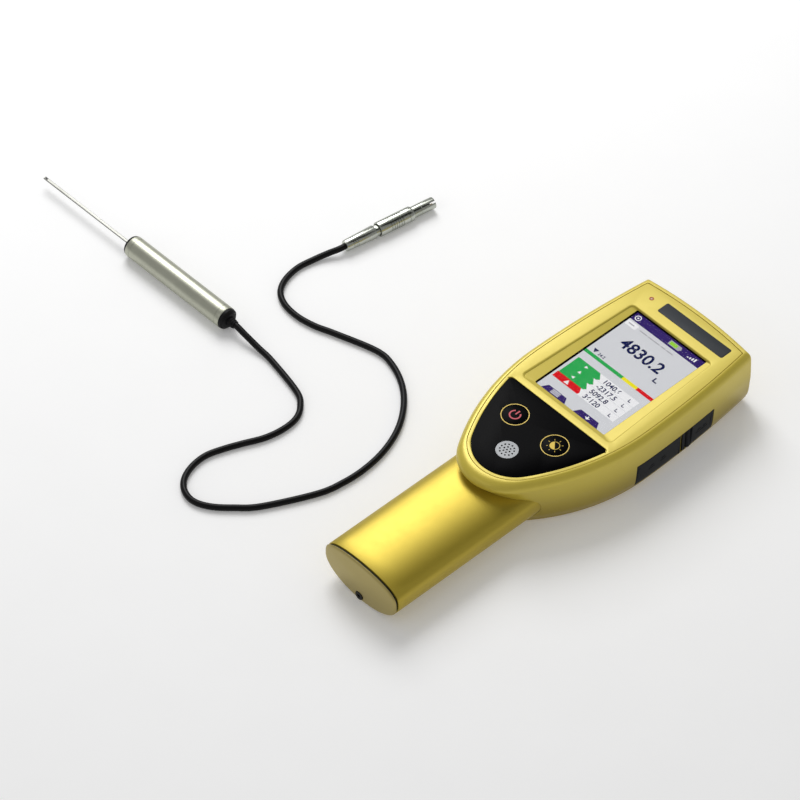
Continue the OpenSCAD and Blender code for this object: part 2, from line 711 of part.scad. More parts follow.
module contact_block() color([0.1, 0.1, 0.1]) difference() {
    oval_bar(handle_wall + 0.05, contact_y, contact_y + 2);
    y_rod(0, handle_h * 0.8, 2, contact_y - 1, contact_y + 3);
}

module battery_springs() color([0.8, 0.8, 0.78])
    for (s = [-1, 1]) translate([s * cell_x, contact_y, cell_z]) rotate([90, 0, 0])
        cylinder(r1 = 5, r2 = 3, h = contact_y - cell_y1 - 1.4 - part_gap);

module battery_tray() color([0.12, 0.12, 0.13]) difference() {
    union() {
        intersection() {
            oval_bar(handle_wall + part_gap, seal_y0, cell_y1 + 1);
            box(-handle_w, handle_w, seal_y0 - 1, cell_y1 + 2, -1, cell_z - 2);
        }
        intersection() {
            oval_bar(handle_wall + part_gap, cell_y1 + 0.1, cell_y1 + 1.2);
            box(-handle_w, handle_w, cell_y1, cell_y1 + 2, -1, cell_z + 5);
        }
    }
    for (s = [-1, 1]) {
        y_rod(s * cell_x, cell_z, cell_d / 2 + 0.15, seal_y0 + 2.2, cell_y1 + 0.1);
        y_rod(s * cell_x, cell_z, 5.6, cell_y1 - 1, cell_y1 + 3);
    }
    box(-boss_r - 0.5, boss_r + 0.5, seal_y0 - 1, cell_y1 + 2, -1, cap_screw_z + boss_r + 0.5);
}

module battery_cells() color([0.16, 0.4, 0.62])
    for (s = [-1, 1]) {
        y_rod(s * cell_x, cell_z, cell_d / 2, cell_y0, cell_y1 - 1);
        y_rod(s * cell_x, cell_z, cell_d * 0.19, cell_y1 - 1.1, cell_y1);
    }

module end_cap() color([0.78, 0.68, 0.2]) difference() {
    union() {
        oval_bar(0, cap_y, seal_y0);
        for (i = [0:3]) let (d = cap_dome * (1 - cos(22.5 * (i + 1))) * 1.2)
            oval_bar(d + 0.3, cap_y - cap_dome * sin(22.5 * (i + 1)), cap_y + 0.1);
    }
    y_rod(0, cap_screw_z, 2.75, cap_y - cap_dome - 1, cap_y + 0.2);
    y_rod(0, cap_screw_z, cap_screw_r + 0.1, cap_y - 1, seal_y0 + 1);
}

module end_cap_seal() color([0.05, 0.05, 0.05]) difference() {
    oval_bar(0.5, seal_y0, seal_y0 + 0.9);
    oval_bar(handle_wall + 0.3, seal_y0 - 1, seal_y0 + 2);
}

module end_cap_screw() color([0.55, 0.55, 0.57]) difference() {
    union() {
        y_rod(0, cap_screw_z, 2.5, cap_y - 1.1, cap_y + 0.2);
        y_rod(0, cap_screw_z, cap_screw_r, cap_y, tube_end + boss_l - 1);
    }
    translate([0, cap_y - 2, cap_screw_z]) rotate([-90, 0, 0]) cylinder(r = 1.1, h = 1.9, $fn = 6);
}

module rating_plate() color([0.82, 0.82, 0.8])
    plate_box(0, 10, 44, 30, 0, 0.35);

// ---------------------------------------------------------------- probe

// Puts children that lie along +X at the probe's place
module at_probe() translate([probe_x, probe_y, barrel_r]) rotate([0, 0, probe_turn]) children();

module x_rod(x0, x1, r0, r1)
    translate([x0, 0, 0]) rotate([0, 90, 0]) cylinder(r1 = r0, r2 = r1, h = x1 - x0);

cap_l = 1.6;
barrel_end = cap_l + barrel_l;
rear_cap_l = 3;
boss_len = 4.4;
probe_l = barrel_end + rear_cap_l;

module probe_stem() color([0.72, 0.7, 0.6]) at_probe() difference() {
    union() {
        box(-stem_l, 6, -stem_w / 2, stem_w / 2, -stem_t / 2, stem_t / 2);
        x_rod(cap_l, 8, 3, 3);
    }
    box(-stem_l + 0.6, -stem_l + 2.6, -stem_w / 2 + 0.3, stem_w / 2 - 0.3, 0.05, stem_t);
}

module sensor_element() color([0.1, 0.12, 0.12]) at_probe()
    box(-stem_l + 0.7, -stem_l + 2.5, -stem_w / 2 + 0.35, stem_w / 2 - 0.35, 0.05, stem_t / 2 - 0.05);

module probe_front_cap() color([0.06, 0.06, 0.06]) at_probe() difference() {
    union() {
        x_rod(0, cap_l, barrel_r - 0.7, barrel_r - 0.15);
        x_rod(cap_l - 0.1, cap_l + 5, barrel_r - 1.45, barrel_r - 1.45);
    }
    x_rod(cap_l, cap_l + 6, 3.05, 3.05);
    box(-1, cap_l + 1, -stem_w / 2 - 0.05, stem_w / 2 + 0.05, -stem_t / 2 - 0.05, stem_t / 2 + 0.05);
}

module probe_barrel() color([0.78, 0.74, 0.6]) at_probe() difference() {
    x_rod(cap_l, barrel_end, barrel_r, barrel_r);
    x_rod(cap_l - 1, barrel_end + 1, barrel_r - 1.4, barrel_r - 1.4);
}

module probe_rear_cap() color([0.06, 0.06, 0.06]) at_probe() difference() {
    union() {
        x_rod(barrel_end, barrel_end + 2, barrel_r - 0.1, barrel_r - 0.3);
        x_rod(barrel_end + 1.9, probe_l, barrel_r - 1.2, barrel_r - 1.9);
        x_rod(barrel_end - 5, barrel_end + 0.1, barrel_r - 1.45, barrel_r - 1.45);
    }
    x_rod(barrel_end - 6, probe_l + 1, 2.5, 2.5);
}

module probe_strain_relief() color([0.08, 0.08, 0.08]) at_probe() difference() {
    union() {
        x_rod(barrel_end - 3, probe_l + 0.1, 2.5, 2.5);
        x_rod(probe_l, probe_l + boss_len, 2.9, 2.15);
    }
    x_rod(probe_l - 6, probe_l + boss_len + 1, lead_d / 2, lead_d / 2);
}

module sensor_board() color([0.06, 0.3, 0.16]) at_probe()
    box(10, barrel_end - 8, -4, 4, -0.6, 0.6);

// ---------------------------------------------------------------- lead

lead_r = lead_d / 2;
turn_dir = [cos(probe_turn), sin(probe_turn)];
lead_from = [probe_x, probe_y] + (probe_l + 1) * turn_dir;
plug_dir = [cos(plug_turn), sin(plug_turn)];
lead_to = [plug_x, plug_y] + 3 * plug_dir;
lead_turn = [plug_x, plug_y] - 3.7 * plug_dir;

// Middle of the lead: out of the probe, down to the surface, round two loose loops and up to the plug
ROUTE = [
    [lead_from.x, lead_from.y, barrel_r],
    [-179, -84.5, 6.2], [-172.5, -84.6, 5], [-162, -84.5, 2.8], [-151, -84.9, lead_r],
    [-126, -90, lead_r], [-117, -95.5, lead_r], [-112, -103, lead_r],
    [-111, -113, lead_r], [-113, -124, lead_r], [-118, -135.5, lead_r], [-122, -145.5, lead_r],
    [-124.5, -155, lead_r], [-123.5, -165, lead_r], [-119.5, -173.5, lead_r], [-113, -178.5, lead_r],
    [-105, -179.5, lead_r], [-96.5, -175.5, lead_r], [-88, -167.5, lead_r], [-79, -156.5, lead_r],
    [-66, -130, lead_r], [-62.5, -115, lead_r], [-62, -100, lead_r],
    [-64.5, -84.5, lead_r], [-70.5, -69.5, lead_r], [-80, -56.5, lead_r], [-92, -46.5, lead_r],
    [-106, -40.5, lead_r], [-119, -39.7, lead_r], [-143, -47.3, lead_r],
    [-154.5, -51.5, lead_r], [-166, -53.5, lead_r], [-177, -52.5, lead_r], [-185.5, -48, lead_r],
    [-190.5, -40, lead_r], [-192.5, -29.5, lead_r], [-191.2, -19.5, 1.9], [-188.6, -11, 3],
    [lead_turn.x, lead_turn.y, sleeve_r - 0.1], [lead_to.x, lead_to.y, sleeve_r]
];

// Smooth curve through the route's points, with steps between each pair
function spline(p0, p1, p2, p3, t) = 0.5 * (2 * p1 + (p2 - p0) * t
    + (2 * p0 - 5 * p1 + 4 * p2 - p3) * t * t + (3 * p1 - p0 - 3 * p2 + p3) * t * t * t);
function route_point(pts, i) = pts[max(0, min(len(pts) - 1, i))];
function smooth_route(pts, steps) = concat(
    [for (i = [0:len(pts) - 2]) for (k = [0:steps - 1])
        spline(route_point(pts, i - 1), pts[i], pts[i + 1], route_point(pts, i + 2), k / steps)],
    [pts[len(pts) - 1]]);

// Tube of a given radius along points, kept upright by the Z axis
module tube(pts, r, sides) {
    n = len(pts);
    ring = [for (i = [0:n - 1]) let (
            ahead = route_point(pts, i + 1) - route_point(pts, i - 1),
            along = ahead / norm(ahead),
            side_raw = cross(along, [0, 0, 1]),
            side = side_raw / norm(side_raw),
            lift = cross(side, along)
        ) for (k = [0:sides - 1]) let (a = 360 * (k + 0.5) / sides)
            pts[i] + r * (cos(a) * side + sin(a) * lift)];
    walls = [for (i = [0:n - 2]) for (k = [0:sides - 1]) for (half = [0:1])
        let (a = i * sides + k, b = i * sides + (k + 1) % sides)
        half == 0 ? [a, b, b + sides] : [a, b + sides, a + sides]];
    start = [for (k = [sides - 1:-1:0]) k];
    finish = [for (k = [0:sides - 1]) (n - 1) * sides + k];
    polyhedron(points = ring, faces = concat([start, finish], walls));
}

module probe_cable() color([0.04, 0.04, 0.04])
    tube(smooth_route(ROUTE, 2), lead_r - 0.01, 8);

// ---------------------------------------------------------------- plug

module at_plug() translate([plug_x, plug_y, sleeve_r]) rotate([0, 0, plug_turn]) children();

core_r = sleeve_r - 0.65;
sleeve_x0 = nut_l + sleeve_travel + 2 * part_gap;
sleeve_x1 = sleeve_x0 + sleeve_l;
nose_x1 = sleeve_x1 + plug_nose_l;

module plug_clamp_nut() color([0.55, 0.57, 0.53]) at_plug() difference() {
    x_rod(0, nut_l, core_r - 0.4, core_r + 0.25);
    x_rod(-1, nut_l + 1, lead_r, lead_r);
}

module plug_body() color([0.6, 0.62, 0.58]) at_plug() difference() {
    union() {
        x_rod(nut_l, sleeve_x0 + 2, core_r - 0.4, core_r - 0.4);
        x_rod(sleeve_x0 + 1, sleeve_x1 + part_gap, core_r - run_gap, core_r - run_gap);
        x_rod(sleeve_x1, nose_x1, plug_nose_r, plug_nose_r);
    }
    x_rod(nose_x1 - 9, nose_x1 + 1, plug_nose_r - 0.6, plug_nose_r - 0.6);
    for (s = [-1, 1]) box(nut_l + 0.6, sleeve_x0 - 0.1, -5, 5, s > 0 ? core_r - 0.8 : -6,
        s > 0 ? 6 : 0.8 - core_r);
}

module plug_sleeve() color([0.62, 0.64, 0.6]) at_plug() difference() {
    x_rod(sleeve_x0, sleeve_x1, sleeve_r, sleeve_r);
    x_rod(sleeve_x0 - 1, sleeve_x1 + 1, core_r, core_r);
    for (i = [0:4]) translate([sleeve_x0 + sleeve_l * 0.36 + 1.6 * i, 0, 0]) difference() {
        x_rod(0, 0.7, sleeve_r + 1, sleeve_r + 1);
        x_rod(-1, 2, sleeve_r - 0.25, sleeve_r - 0.25);
    }
}

module plug_insert() color([0.85, 0.83, 0.76]) at_plug() difference() {
    x_rod(nose_x1 - 9, nose_x1 - 7, plug_nose_r - 0.6, plug_nose_r - 0.6);
    for (i = [0:4]) rotate([72 * i, 0, 0]) translate([0, 1.6, 0]) x_rod(nose_x1 - 10, nose_x1, 0.35, 0.35);
}

module plug_pins() color([0.85, 0.7, 0.3]) at_plug()
    for (i = [0:4]) rotate([72 * i, 0, 0]) translate([0, 1.6, 0]) x_rod(nose_x1 - 9, nose_x1 - 1.5, 0.35, 0.35);

front_shell();
back_cover();
casing_seal();
casing_screws();
bezel_panel();
display_gasket();
display_window();
lcd_panel();
backlight_frame();
display_ribbon();
keypad_overlay();
key_rings();
power_key();
light_key();
keypad_board();
key_domes();
buzzer_grille();
buzzer();
name_plate();
status_lamp();
main_board();
board_screws();
processor_chip();
shield_can();
board_parts();
usb_socket();
charge_jack();
card_slot();
probe_socket();
socket_insert();
socket_nut();
port_cover_rear();
port_cover_front();
cover_pins();
cover_anchor();
handle_tube();
handle_bracket();
handle_screws();
contact_block();
battery_springs();
battery_tray();
battery_cells();
end_cap();
end_cap_seal();
end_cap_screw();
rating_plate();
probe_stem();
probe_front_cap();
probe_barrel();
probe_rear_cap();
probe_strain_relief();
sensor_element();
sensor_board();
probe_cable();
plug_clamp_nut();
plug_body();
plug_sleeve();
plug_insert();
plug_pins();
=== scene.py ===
"""Looks of a handheld probe meter with a loose needle probe on its lead.

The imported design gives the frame. The classes below build the smooth casing, the lit display,
the keypad, the handle, the probe, its lead and its plug, and dress every carried-over node.
"""
import json
import logging
import math
from collections.abc import Callable, Iterable, Sequence
from dataclasses import dataclass, field
from enum import Enum

import bmesh
import bpy
from mathutils import Matrix, Vector


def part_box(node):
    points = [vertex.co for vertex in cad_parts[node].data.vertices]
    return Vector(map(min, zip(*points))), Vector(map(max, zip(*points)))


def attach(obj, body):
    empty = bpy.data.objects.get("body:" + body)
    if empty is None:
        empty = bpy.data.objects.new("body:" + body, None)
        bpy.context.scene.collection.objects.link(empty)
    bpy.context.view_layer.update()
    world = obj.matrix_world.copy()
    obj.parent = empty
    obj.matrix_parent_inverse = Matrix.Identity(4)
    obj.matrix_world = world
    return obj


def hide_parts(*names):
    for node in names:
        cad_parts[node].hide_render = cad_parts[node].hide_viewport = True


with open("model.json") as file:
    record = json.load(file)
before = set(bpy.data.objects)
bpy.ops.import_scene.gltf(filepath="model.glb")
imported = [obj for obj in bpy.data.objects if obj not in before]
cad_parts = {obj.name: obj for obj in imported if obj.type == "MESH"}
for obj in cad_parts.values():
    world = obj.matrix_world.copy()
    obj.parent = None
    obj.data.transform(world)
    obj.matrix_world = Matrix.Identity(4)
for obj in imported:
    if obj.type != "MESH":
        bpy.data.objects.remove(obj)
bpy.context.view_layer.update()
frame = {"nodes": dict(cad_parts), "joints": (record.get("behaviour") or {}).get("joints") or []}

LOG = logging.getLogger("meter")
MM = 0.001
SMOOTH_ANGLE = math.radians(34)


class Body(str, Enum):
    """Moving bodies that pieces ride on."""

    METER = "meter"
    POWER_KEY = "power_key"
    LIGHT_KEY = "light_key"
    REAR_COVER = "rear_cover"
    FRONT_COVER = "front_cover"
    DRAWER = "battery_drawer"
    PROBE = "probe"
    SLEEVE = "plug_sleeve"


# ------------------------------------------------------------------ mesh kit


class MeshKit:
    """A bmesh with the few operators that the pieces are made with."""

    def __init__(self) -> None:
        """Starts an empty mesh."""
        self.bm = bmesh.new()

    def ring(self, points: Iterable[Sequence[float]]) -> list[bmesh.types.BMEdge]:
        """Makes a closed loop of edges.

        Args:
            points: The corners in order, in metres.

        Returns:
            The loop's edges.
        """
        verts = [self.bm.verts.new(p) for p in points]
        return [self.bm.edges.new((a, b)) for a, b in zip(verts, verts[1:] + verts[:1])]

    def bridge(self, low: list[bmesh.types.BMEdge], high: list[bmesh.types.BMEdge]) -> None:
        """Joins two loops of the same count with a band of faces."""
        bmesh.ops.bridge_loops(self.bm, edges=low + high)

    def fill(self, loop: list[bmesh.types.BMEdge]) -> None:
        """Closes a loop with one face."""
        bmesh.ops.edgeloop_fill(self.bm, edges=loop)

    def done(self, name: str, matrix: Matrix | None = None, smooth: bool = True) -> bpy.types.Object:
        """Turns the mesh into an object at the origin.

        Args:
            name: The piece's name.
            matrix: Where the piece goes, applied to its mesh.
            smooth: Whether its faces are shaded smooth below the sharp angle.

        Returns:
            The new object, linked to the scene.
        """
        bmesh.ops.remove_doubles(self.bm, verts=self.bm.verts, dist=1e-7)
        if matrix is not None:
            bmesh.ops.transform(self.bm, matrix=matrix, verts=self.bm.verts)
        bmesh.ops.recalc_face_normals(self.bm, faces=self.bm.faces)
        mesh = bpy.data.meshes.new(name)
        self.bm.to_mesh(mesh)
        self.bm.free()
        obj = bpy.data.objects.new(name, mesh)
        bpy.context.scene.collection.objects.link(obj)
        if smooth:
            soften(obj)
        return obj


def soften(obj: bpy.types.Object, angle: float = SMOOTH_ANGLE) -> None:
    """Shades an object smooth and keeps edges above an angle sharp."""
    obj.data.shade_smooth()
    obj.data.set_sharp_from_angle(angle=angle)


def loft(name: str, rings: Sequence[Sequence[Vector]], matrix: Matrix | None = None,
         smooth: bool = True, closed: bool = True) -> bpy.types.Object:
    """Builds a skin through rings of points.

    Args:
        name: The piece's name.
        rings: Loops with the same count of points each.
        matrix: Where the piece goes.
        smooth: Whether it is shaded smooth.
        closed: Whether the two ends are closed with a face.

    Returns:
        The new object.
    """
    kit = MeshKit()
    loops = [kit.ring(r) for r in rings]
    for low, high in zip(loops, loops[1:]):
        kit.bridge(low, high)
    if closed:
        kit.fill(loops[0])
        kit.fill(loops[-1])
    return kit.done(name, matrix, smooth)


def lathe(name: str, profile: Sequence[tuple[float, float]], matrix: Matrix | None = None,
          steps: int = 64) -> bpy.types.Object:
    """Spins a profile round the X axis.

    Args:
        name: The piece's name.
        profile: Pairs of place along X and radius, in metres. A closed profile repeats its start.
        matrix: Where the piece goes.
        steps: Segments round the turn.

    Returns:
        The new object.
    """
    kit = MeshKit()
    verts = [kit.bm.verts.new((x, r, 0)) for x, r in profile]
    edges = [kit.bm.edges.new(pair) for pair in zip(verts, verts[1:])]
    bmesh.ops.spin(kit.bm, geom=verts + edges, cent=(0, 0, 0), axis=(1, 0, 0), angle=2 * math.pi,
                   steps=steps, use_merge=True)
    return kit.done(name, matrix)


def rounded_corner(x: float, r: float, size: float, out_x: int, out_r: int, steps: int = 4
                   ) -> list[tuple[float, float]]:
    """Points of a rounded edge of a lathe profile, from the face side to the wall side.

    Args:
        x: Place of the sharp corner along X.
        r: Radius of the sharp corner.
        size: Radius of the rounding.
        out_x: +1 where the face looks along +X, -1 where it looks along -X.
        out_r: +1 for an outer edge.
        steps: Segments of the rounding.

    Returns:
        The points, starting on the end face.
    """
    points = []
    for i in range(steps + 1):
        a = math.pi / 2 * i / steps
        points.append((x - out_x * size * (1 - math.cos(a)), r - out_r * size * (1 - math.sin(a))))
    return points


def block(name: str, low: Sequence[float], high: Sequence[float], bevel: float = 0.0,
          segments: int = 2) -> bpy.types.Object:
    """Makes a box with bevelled edges between two corners, in metres."""
    kit = MeshKit()
    bmesh.ops.create_cube(kit.bm, size=1.0)
    size = Vector(high) - Vector(low)
    middle = (Vector(high) + Vector(low)) / 2
    bmesh.ops.scale(kit.bm, vec=size, verts=kit.bm.verts)
    bmesh.ops.translate(kit.bm, vec=middle, verts=kit.bm.verts)
    if bevel:
        bmesh.ops.bevel(kit.bm, geom=kit.bm.edges[:], offset=bevel, segments=segments, profile=0.5,
                        affect="EDGES", material=-1)
    return kit.done(name)


def cut(target: bpy.types.Object, *cutters: bpy.types.Object) -> None:
    """Takes cutters out of an object, bakes the result into its mesh and removes the cutters."""
    for cutter in cutters:
        mod = target.modifiers.new("cut", "BOOLEAN")
        mod.operation = "DIFFERENCE"
        mod.solver = "EXACT"
        mod.object = cutter
    graph = bpy.context.evaluated_depsgraph_get()
    mesh = bpy.data.meshes.new_from_object(target.evaluated_get(graph), depsgraph=graph)
    target.modifiers.clear()
    old = target.data
    target.data = mesh
    bpy.data.meshes.remove(old)
    for cutter in cutters:
        bpy.data.objects.remove(cutter, do_unlink=True)
    soften(target)


def flat_shape(name: str, corners: Sequence[tuple[float, float]], z: float, thick: float
               ) -> bpy.types.Object:
    """Makes a thin flat piece from its corners in the XY plane, in metres."""
    rings = [[Vector((x, y, z + t)) for x, y in corners] for t in (0.0, thick)]
    return loft(name, rings, smooth=False)


def join(name: str, parts: Sequence[bpy.types.Object]) -> bpy.types.Object:
    """Joins several objects' meshes into one new object."""
    bm = bmesh.new()
    for part in parts:
        bm.from_mesh(part.data)
        bpy.data.objects.remove(part, do_unlink=True)
    mesh = bpy.data.meshes.new(name)
    bm.to_mesh(mesh)
    bm.free()
    obj = bpy.data.objects.new(name, mesh)
    bpy.context.scene.collection.objects.link(obj)
    soften(obj)
    return obj


def circle_points(cx: float, cy: float, r: float, count: int = 40, start: float = 0.0,
                  turn: float = 2 * math.pi) -> list[tuple[float, float]]:
    """Points round a circle or an arc, the far end left out."""
    return [(cx + r * math.cos(start + turn * i / count), cy + r * math.sin(start + turn * i / count))
            for i in range(count)]


def rounded_rect(cx: float, cy: float, w: float, h: float, r: float, steps: int = 6
                 ) -> list[tuple[float, float]]:
    """Corners of a rectangle with rounded corners, anticlockwise."""
    points = []
    for sx, sy, a0 in ((1, 1, 0.0), (-1, 1, 0.5), (-1, -1, 1.0), (1, -1, 1.5)):
        kx, ky = cx + sx * (w / 2 - r), cy + sy * (h / 2 - r)
        for i in range(steps + 1):
            a = math.pi * (a0 + 0.5 * i / steps)
            points.append((kx + r * math.cos(a), ky + r * math.sin(a)))
    return points


def show(obj: bpy.types.Object, body: Body, finish: bpy.types.Material, slot: str,
         *nodes: str) -> bpy.types.Object:
    """Dresses a new piece and ties it to the design.

    Args:
        obj: The piece.
        body: The body that it rides on.
        finish: Its material.
        slot: The record's material slot; not used.
        nodes: Names of the design's nodes that it stands for.

    Returns:
        The same piece.
    """
    obj.data.materials.clear()
    obj.data.materials.append(finish)
    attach(obj, body.value)
    if nodes:
        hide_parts(*nodes)
    LOG.info("made %s on %s", obj.name, body.value)
    return obj


# ------------------------------------------------------------------ shader kit


class Graph:
    """Adds and links nodes in one node tree."""

    def __init__(self, tree: bpy.types.NodeTree) -> None:
        """Keeps the tree to work on."""
        self.tree = tree

    def add(self, kind: str, inputs: dict | None = None, **settings: object) -> bpy.types.Node:
        """Adds a node.

        Args:
            kind: The node's type name.
            inputs: Values or output sockets by input name or index.
            settings: Properties of the node.

        Returns:
            The node.
        """
        node = self.tree.nodes.new(kind)
        for key, value in settings.items():
            setattr(node, key, value)
        for key, value in (inputs or {}).items():
            if isinstance(value, bpy.types.NodeSocket):
                self.tree.links.new(value, node.inputs[key])
            else:
                node.inputs[key].default_value = value
        return node

    def mix(self, factor: object, a: object, b: object, blend: str = "MIX") -> bpy.types.NodeSocket:
        """Mixes two colours and returns the result's socket."""
        node = self.tree.nodes.new("ShaderNodeMix")
        node.data_type = "RGBA"
        node.blend_type = blend
        for index, value in ((0, factor), (6, a), (7, b)):
            if isinstance(value, bpy.types.NodeSocket):
                self.tree.links.new(value, node.inputs[index])
            else:
                node.inputs[index].default_value = value
        return node.outputs[2]

    def math(self, operation: str, *values: object) -> bpy.types.NodeSocket:
        """Adds a math node and returns its output."""
        node = self.add("ShaderNodeMath", dict(enumerate(values)), operation=operation)
        return node.outputs[0]


@dataclass(frozen=True)
class Port:
    """One socket of a shared effect."""

    name: str
    kind: str
    default: object = None


def new_group(name: str, inputs: Sequence[Port], outputs: Sequence[Port]
              ) -> tuple[Graph, bpy.types.Node, bpy.types.Node]:
    """Makes an empty shader node group with named sockets."""
    tree = bpy.data.node_groups.new(name, "ShaderNodeTree")
    for direction, ports in (("INPUT", inputs), ("OUTPUT", outputs)):
        for port in ports:
            socket = tree.interface.new_socket(port.name, in_out=direction,
                                               socket_type=f"NodeSocket{port.kind}")
            if port.default is not None:
                socket.default_value = port.default
    graph = Graph(tree)
    return graph, graph.add("NodeGroupInput"), graph.add("NodeGroupOutput")


class Effects:
    """Shared effects, each built once as a node group."""

    def __init__(self) -> None:
        """Builds every group."""
        self.grain = self._grain()
        self.tone = self._tone()
        self.brushed = self._brushed()
        self.wear = self._wear()
        self.pixels = self._pixels()

    @staticmethod
    def _grain() -> bpy.types.NodeTree:
        """Fine moulded or sprayed grain: a height and a mask, from object coordinates."""
        g, src, out = new_group("fine_grain", [Port("Scale", "Float", 2500.0), Port("Soft", "Float", 0.5)],
                                [Port("Height", "Float"), Port("Mask", "Float")])
        place = g.add("ShaderNodeTexCoord").outputs["Object"]
        fine = g.add("ShaderNodeTexNoise", {"Vector": place, "Scale": src.outputs["Scale"], "Detail": 3.0,
                                            "Roughness": src.outputs["Soft"]})
        coarse = g.add("ShaderNodeTexNoise", {"Vector": place, "Detail": 2.0,
                                              "Scale": g.math("MULTIPLY", src.outputs["Scale"], 0.22)})
        height = g.math("ADD", g.math("MULTIPLY", fine.outputs["Fac"], 0.7),
                        g.math("MULTIPLY", coarse.outputs["Fac"], 0.3))
        g.tree.links.new(height, out.inputs["Height"])
        g.tree.links.new(coarse.outputs["Fac"], out.inputs["Mask"])
        return g.tree

    @staticmethod
    def _tone() -> bpy.types.NodeTree:
        """Slow change of colour and roughness over a surface, like handling and dust."""
        g, src, out = new_group(
            "soft_tone",
            [Port("Color", "Color", (0.8, 0.8, 0.8, 1)), Port("Shade", "Color", (0.5, 0.5, 0.5, 1)),
             Port("Amount", "Float", 0.3), Port("Scale", "Float", 30.0),
             Port("Roughness", "Float", 0.4), Port("Spread", "Float", 0.08)],
            [Port("Color", "Color"), Port("Roughness", "Float")])
        place = g.add("ShaderNodeTexCoord").outputs["Object"]
        cloud = g.add("ShaderNodeTexNoise", {"Vector": place, "Scale": src.outputs["Scale"], "Detail": 5.0,
                                             "Roughness": 0.6})
        fine = g.add("ShaderNodeTexNoise", {"Vector": place, "Detail": 3.0,
                                            "Scale": g.math("MULTIPLY", src.outputs["Scale"], 14.0)})
        ramp = g.add("ShaderNodeMapRange", {"Value": cloud.outputs["Fac"], 1: 0.35, 2: 0.7})
        factor = g.math("MULTIPLY", ramp.outputs[0], src.outputs["Amount"])
        g.tree.links.new(g.mix(factor, src.outputs["Color"], src.outputs["Shade"]), out.inputs["Color"])
        swing = g.math("SUBTRACT", g.math("ADD", cloud.outputs["Fac"], fine.outputs["Fac"]), 1.0)
        rough = g.math("ADD", src.outputs["Roughness"], g.math("MULTIPLY", swing, src.outputs["Spread"]))
        g.tree.links.new(rough, out.inputs["Roughness"])
        return g.tree

    @staticmethod
    def _brushed() -> bpy.types.NodeTree:
        """Fine lines from turning or brushing: a height and a mask, stretched by a vector."""
        g, src, out = new_group("brushed_lines",
                                [Port("Stretch", "Vector", (1, 1, 1)), Port("Scale", "Float", 3000.0)],
                                [Port("Height", "Float"), Port("Mask", "Float")])
        place = g.add("ShaderNodeTexCoord").outputs["Object"]
        spread = g.add("ShaderNodeVectorMath", {0: place, 1: src.outputs["Stretch"]}, operation="MULTIPLY")
        lines = g.add("ShaderNodeTexNoise", {"Vector": spread.outputs[0], "Scale": src.outputs["Scale"],
                                             "Detail": 4.0, "Roughness": 0.65})
        g.tree.links.new(lines.outputs["Fac"], out.inputs["Height"])
        mask = g.add("ShaderNodeMapRange", {"Value": lines.outputs["Fac"], 1: 0.38, 2: 0.66})
        g.tree.links.new(mask.outputs[0], out.inputs["Mask"])
        return g.tree

    @staticmethod
    def _wear() -> bpy.types.NodeTree:
        """Lighter tone along worn edges, and a mask of those edges."""
        g, src, out = new_group(
            "edge_wear",
            [Port("Color", "Color", (0.8, 0.8, 0.8, 1)), Port("Worn", "Color", (1, 1, 1, 1)),
             Port("Amount", "Float", 0.4)],
            [Port("Color", "Color"), Port("Mask", "Float")])
        point = g.add("ShaderNodeNewGeometry").outputs["Pointiness"]
        place = g.add("ShaderNodeTexCoord").outputs["Object"]
        edge = g.add("ShaderNodeMapRange", {"Value": point, 1: 0.515, 2: 0.58})
        broken = g.add("ShaderNodeTexNoise", {"Vector": place, "Scale": 240.0, "Detail": 4.0})
        mask = g.math("MULTIPLY", g.math("MULTIPLY", edge.outputs[0], broken.outputs["Fac"]),
                      src.outputs["Amount"])
        g.tree.links.new(g.mix(mask, src.outputs["Color"], src.outputs["Worn"]), out.inputs["Color"])
        g.tree.links.new(mask, out.inputs["Mask"])
        return g.tree

    @staticmethod
    def _pixels() -> bpy.types.NodeTree:
        """Dark grid between the dots of a display."""
        g, src, out = new_group("dot_grid", [Port("Color", "Color", (1, 1, 1, 1)), Port("Depth", "Float", 0.12)],
                                [Port("Color", "Color")])
        place = g.add("ShaderNodeTexCoord").outputs["Object"]
        cells = g.add("ShaderNodeVectorMath", {0: place, 1: (6530.0, 6530.0, 0.0)}, operation="MULTIPLY")
        wave = g.add("ShaderNodeVectorMath", {0: cells.outputs[0]}, operation="FRACTION")
        axes = g.add("ShaderNodeSeparateXYZ", {0: wave.outputs[0]})
        lines = g.math("MAXIMUM", g.math("GREATER_THAN", axes.outputs[0], 0.8),
                       g.math("GREATER_THAN", axes.outputs[1], 0.8))
        factor = g.math("MULTIPLY", lines, src.outputs["Depth"])
        g.tree.links.new(g.mix(factor, src.outputs["Color"], (0.02, 0.02, 0.03, 1)), out.inputs["Color"])
        return g.tree


FX = Effects()
Rgb = tuple[float, float, float]


def rgba(color: Rgb) -> tuple[float, float, float, float]:
    """Adds an alpha of one."""
    return (*color, 1.0)


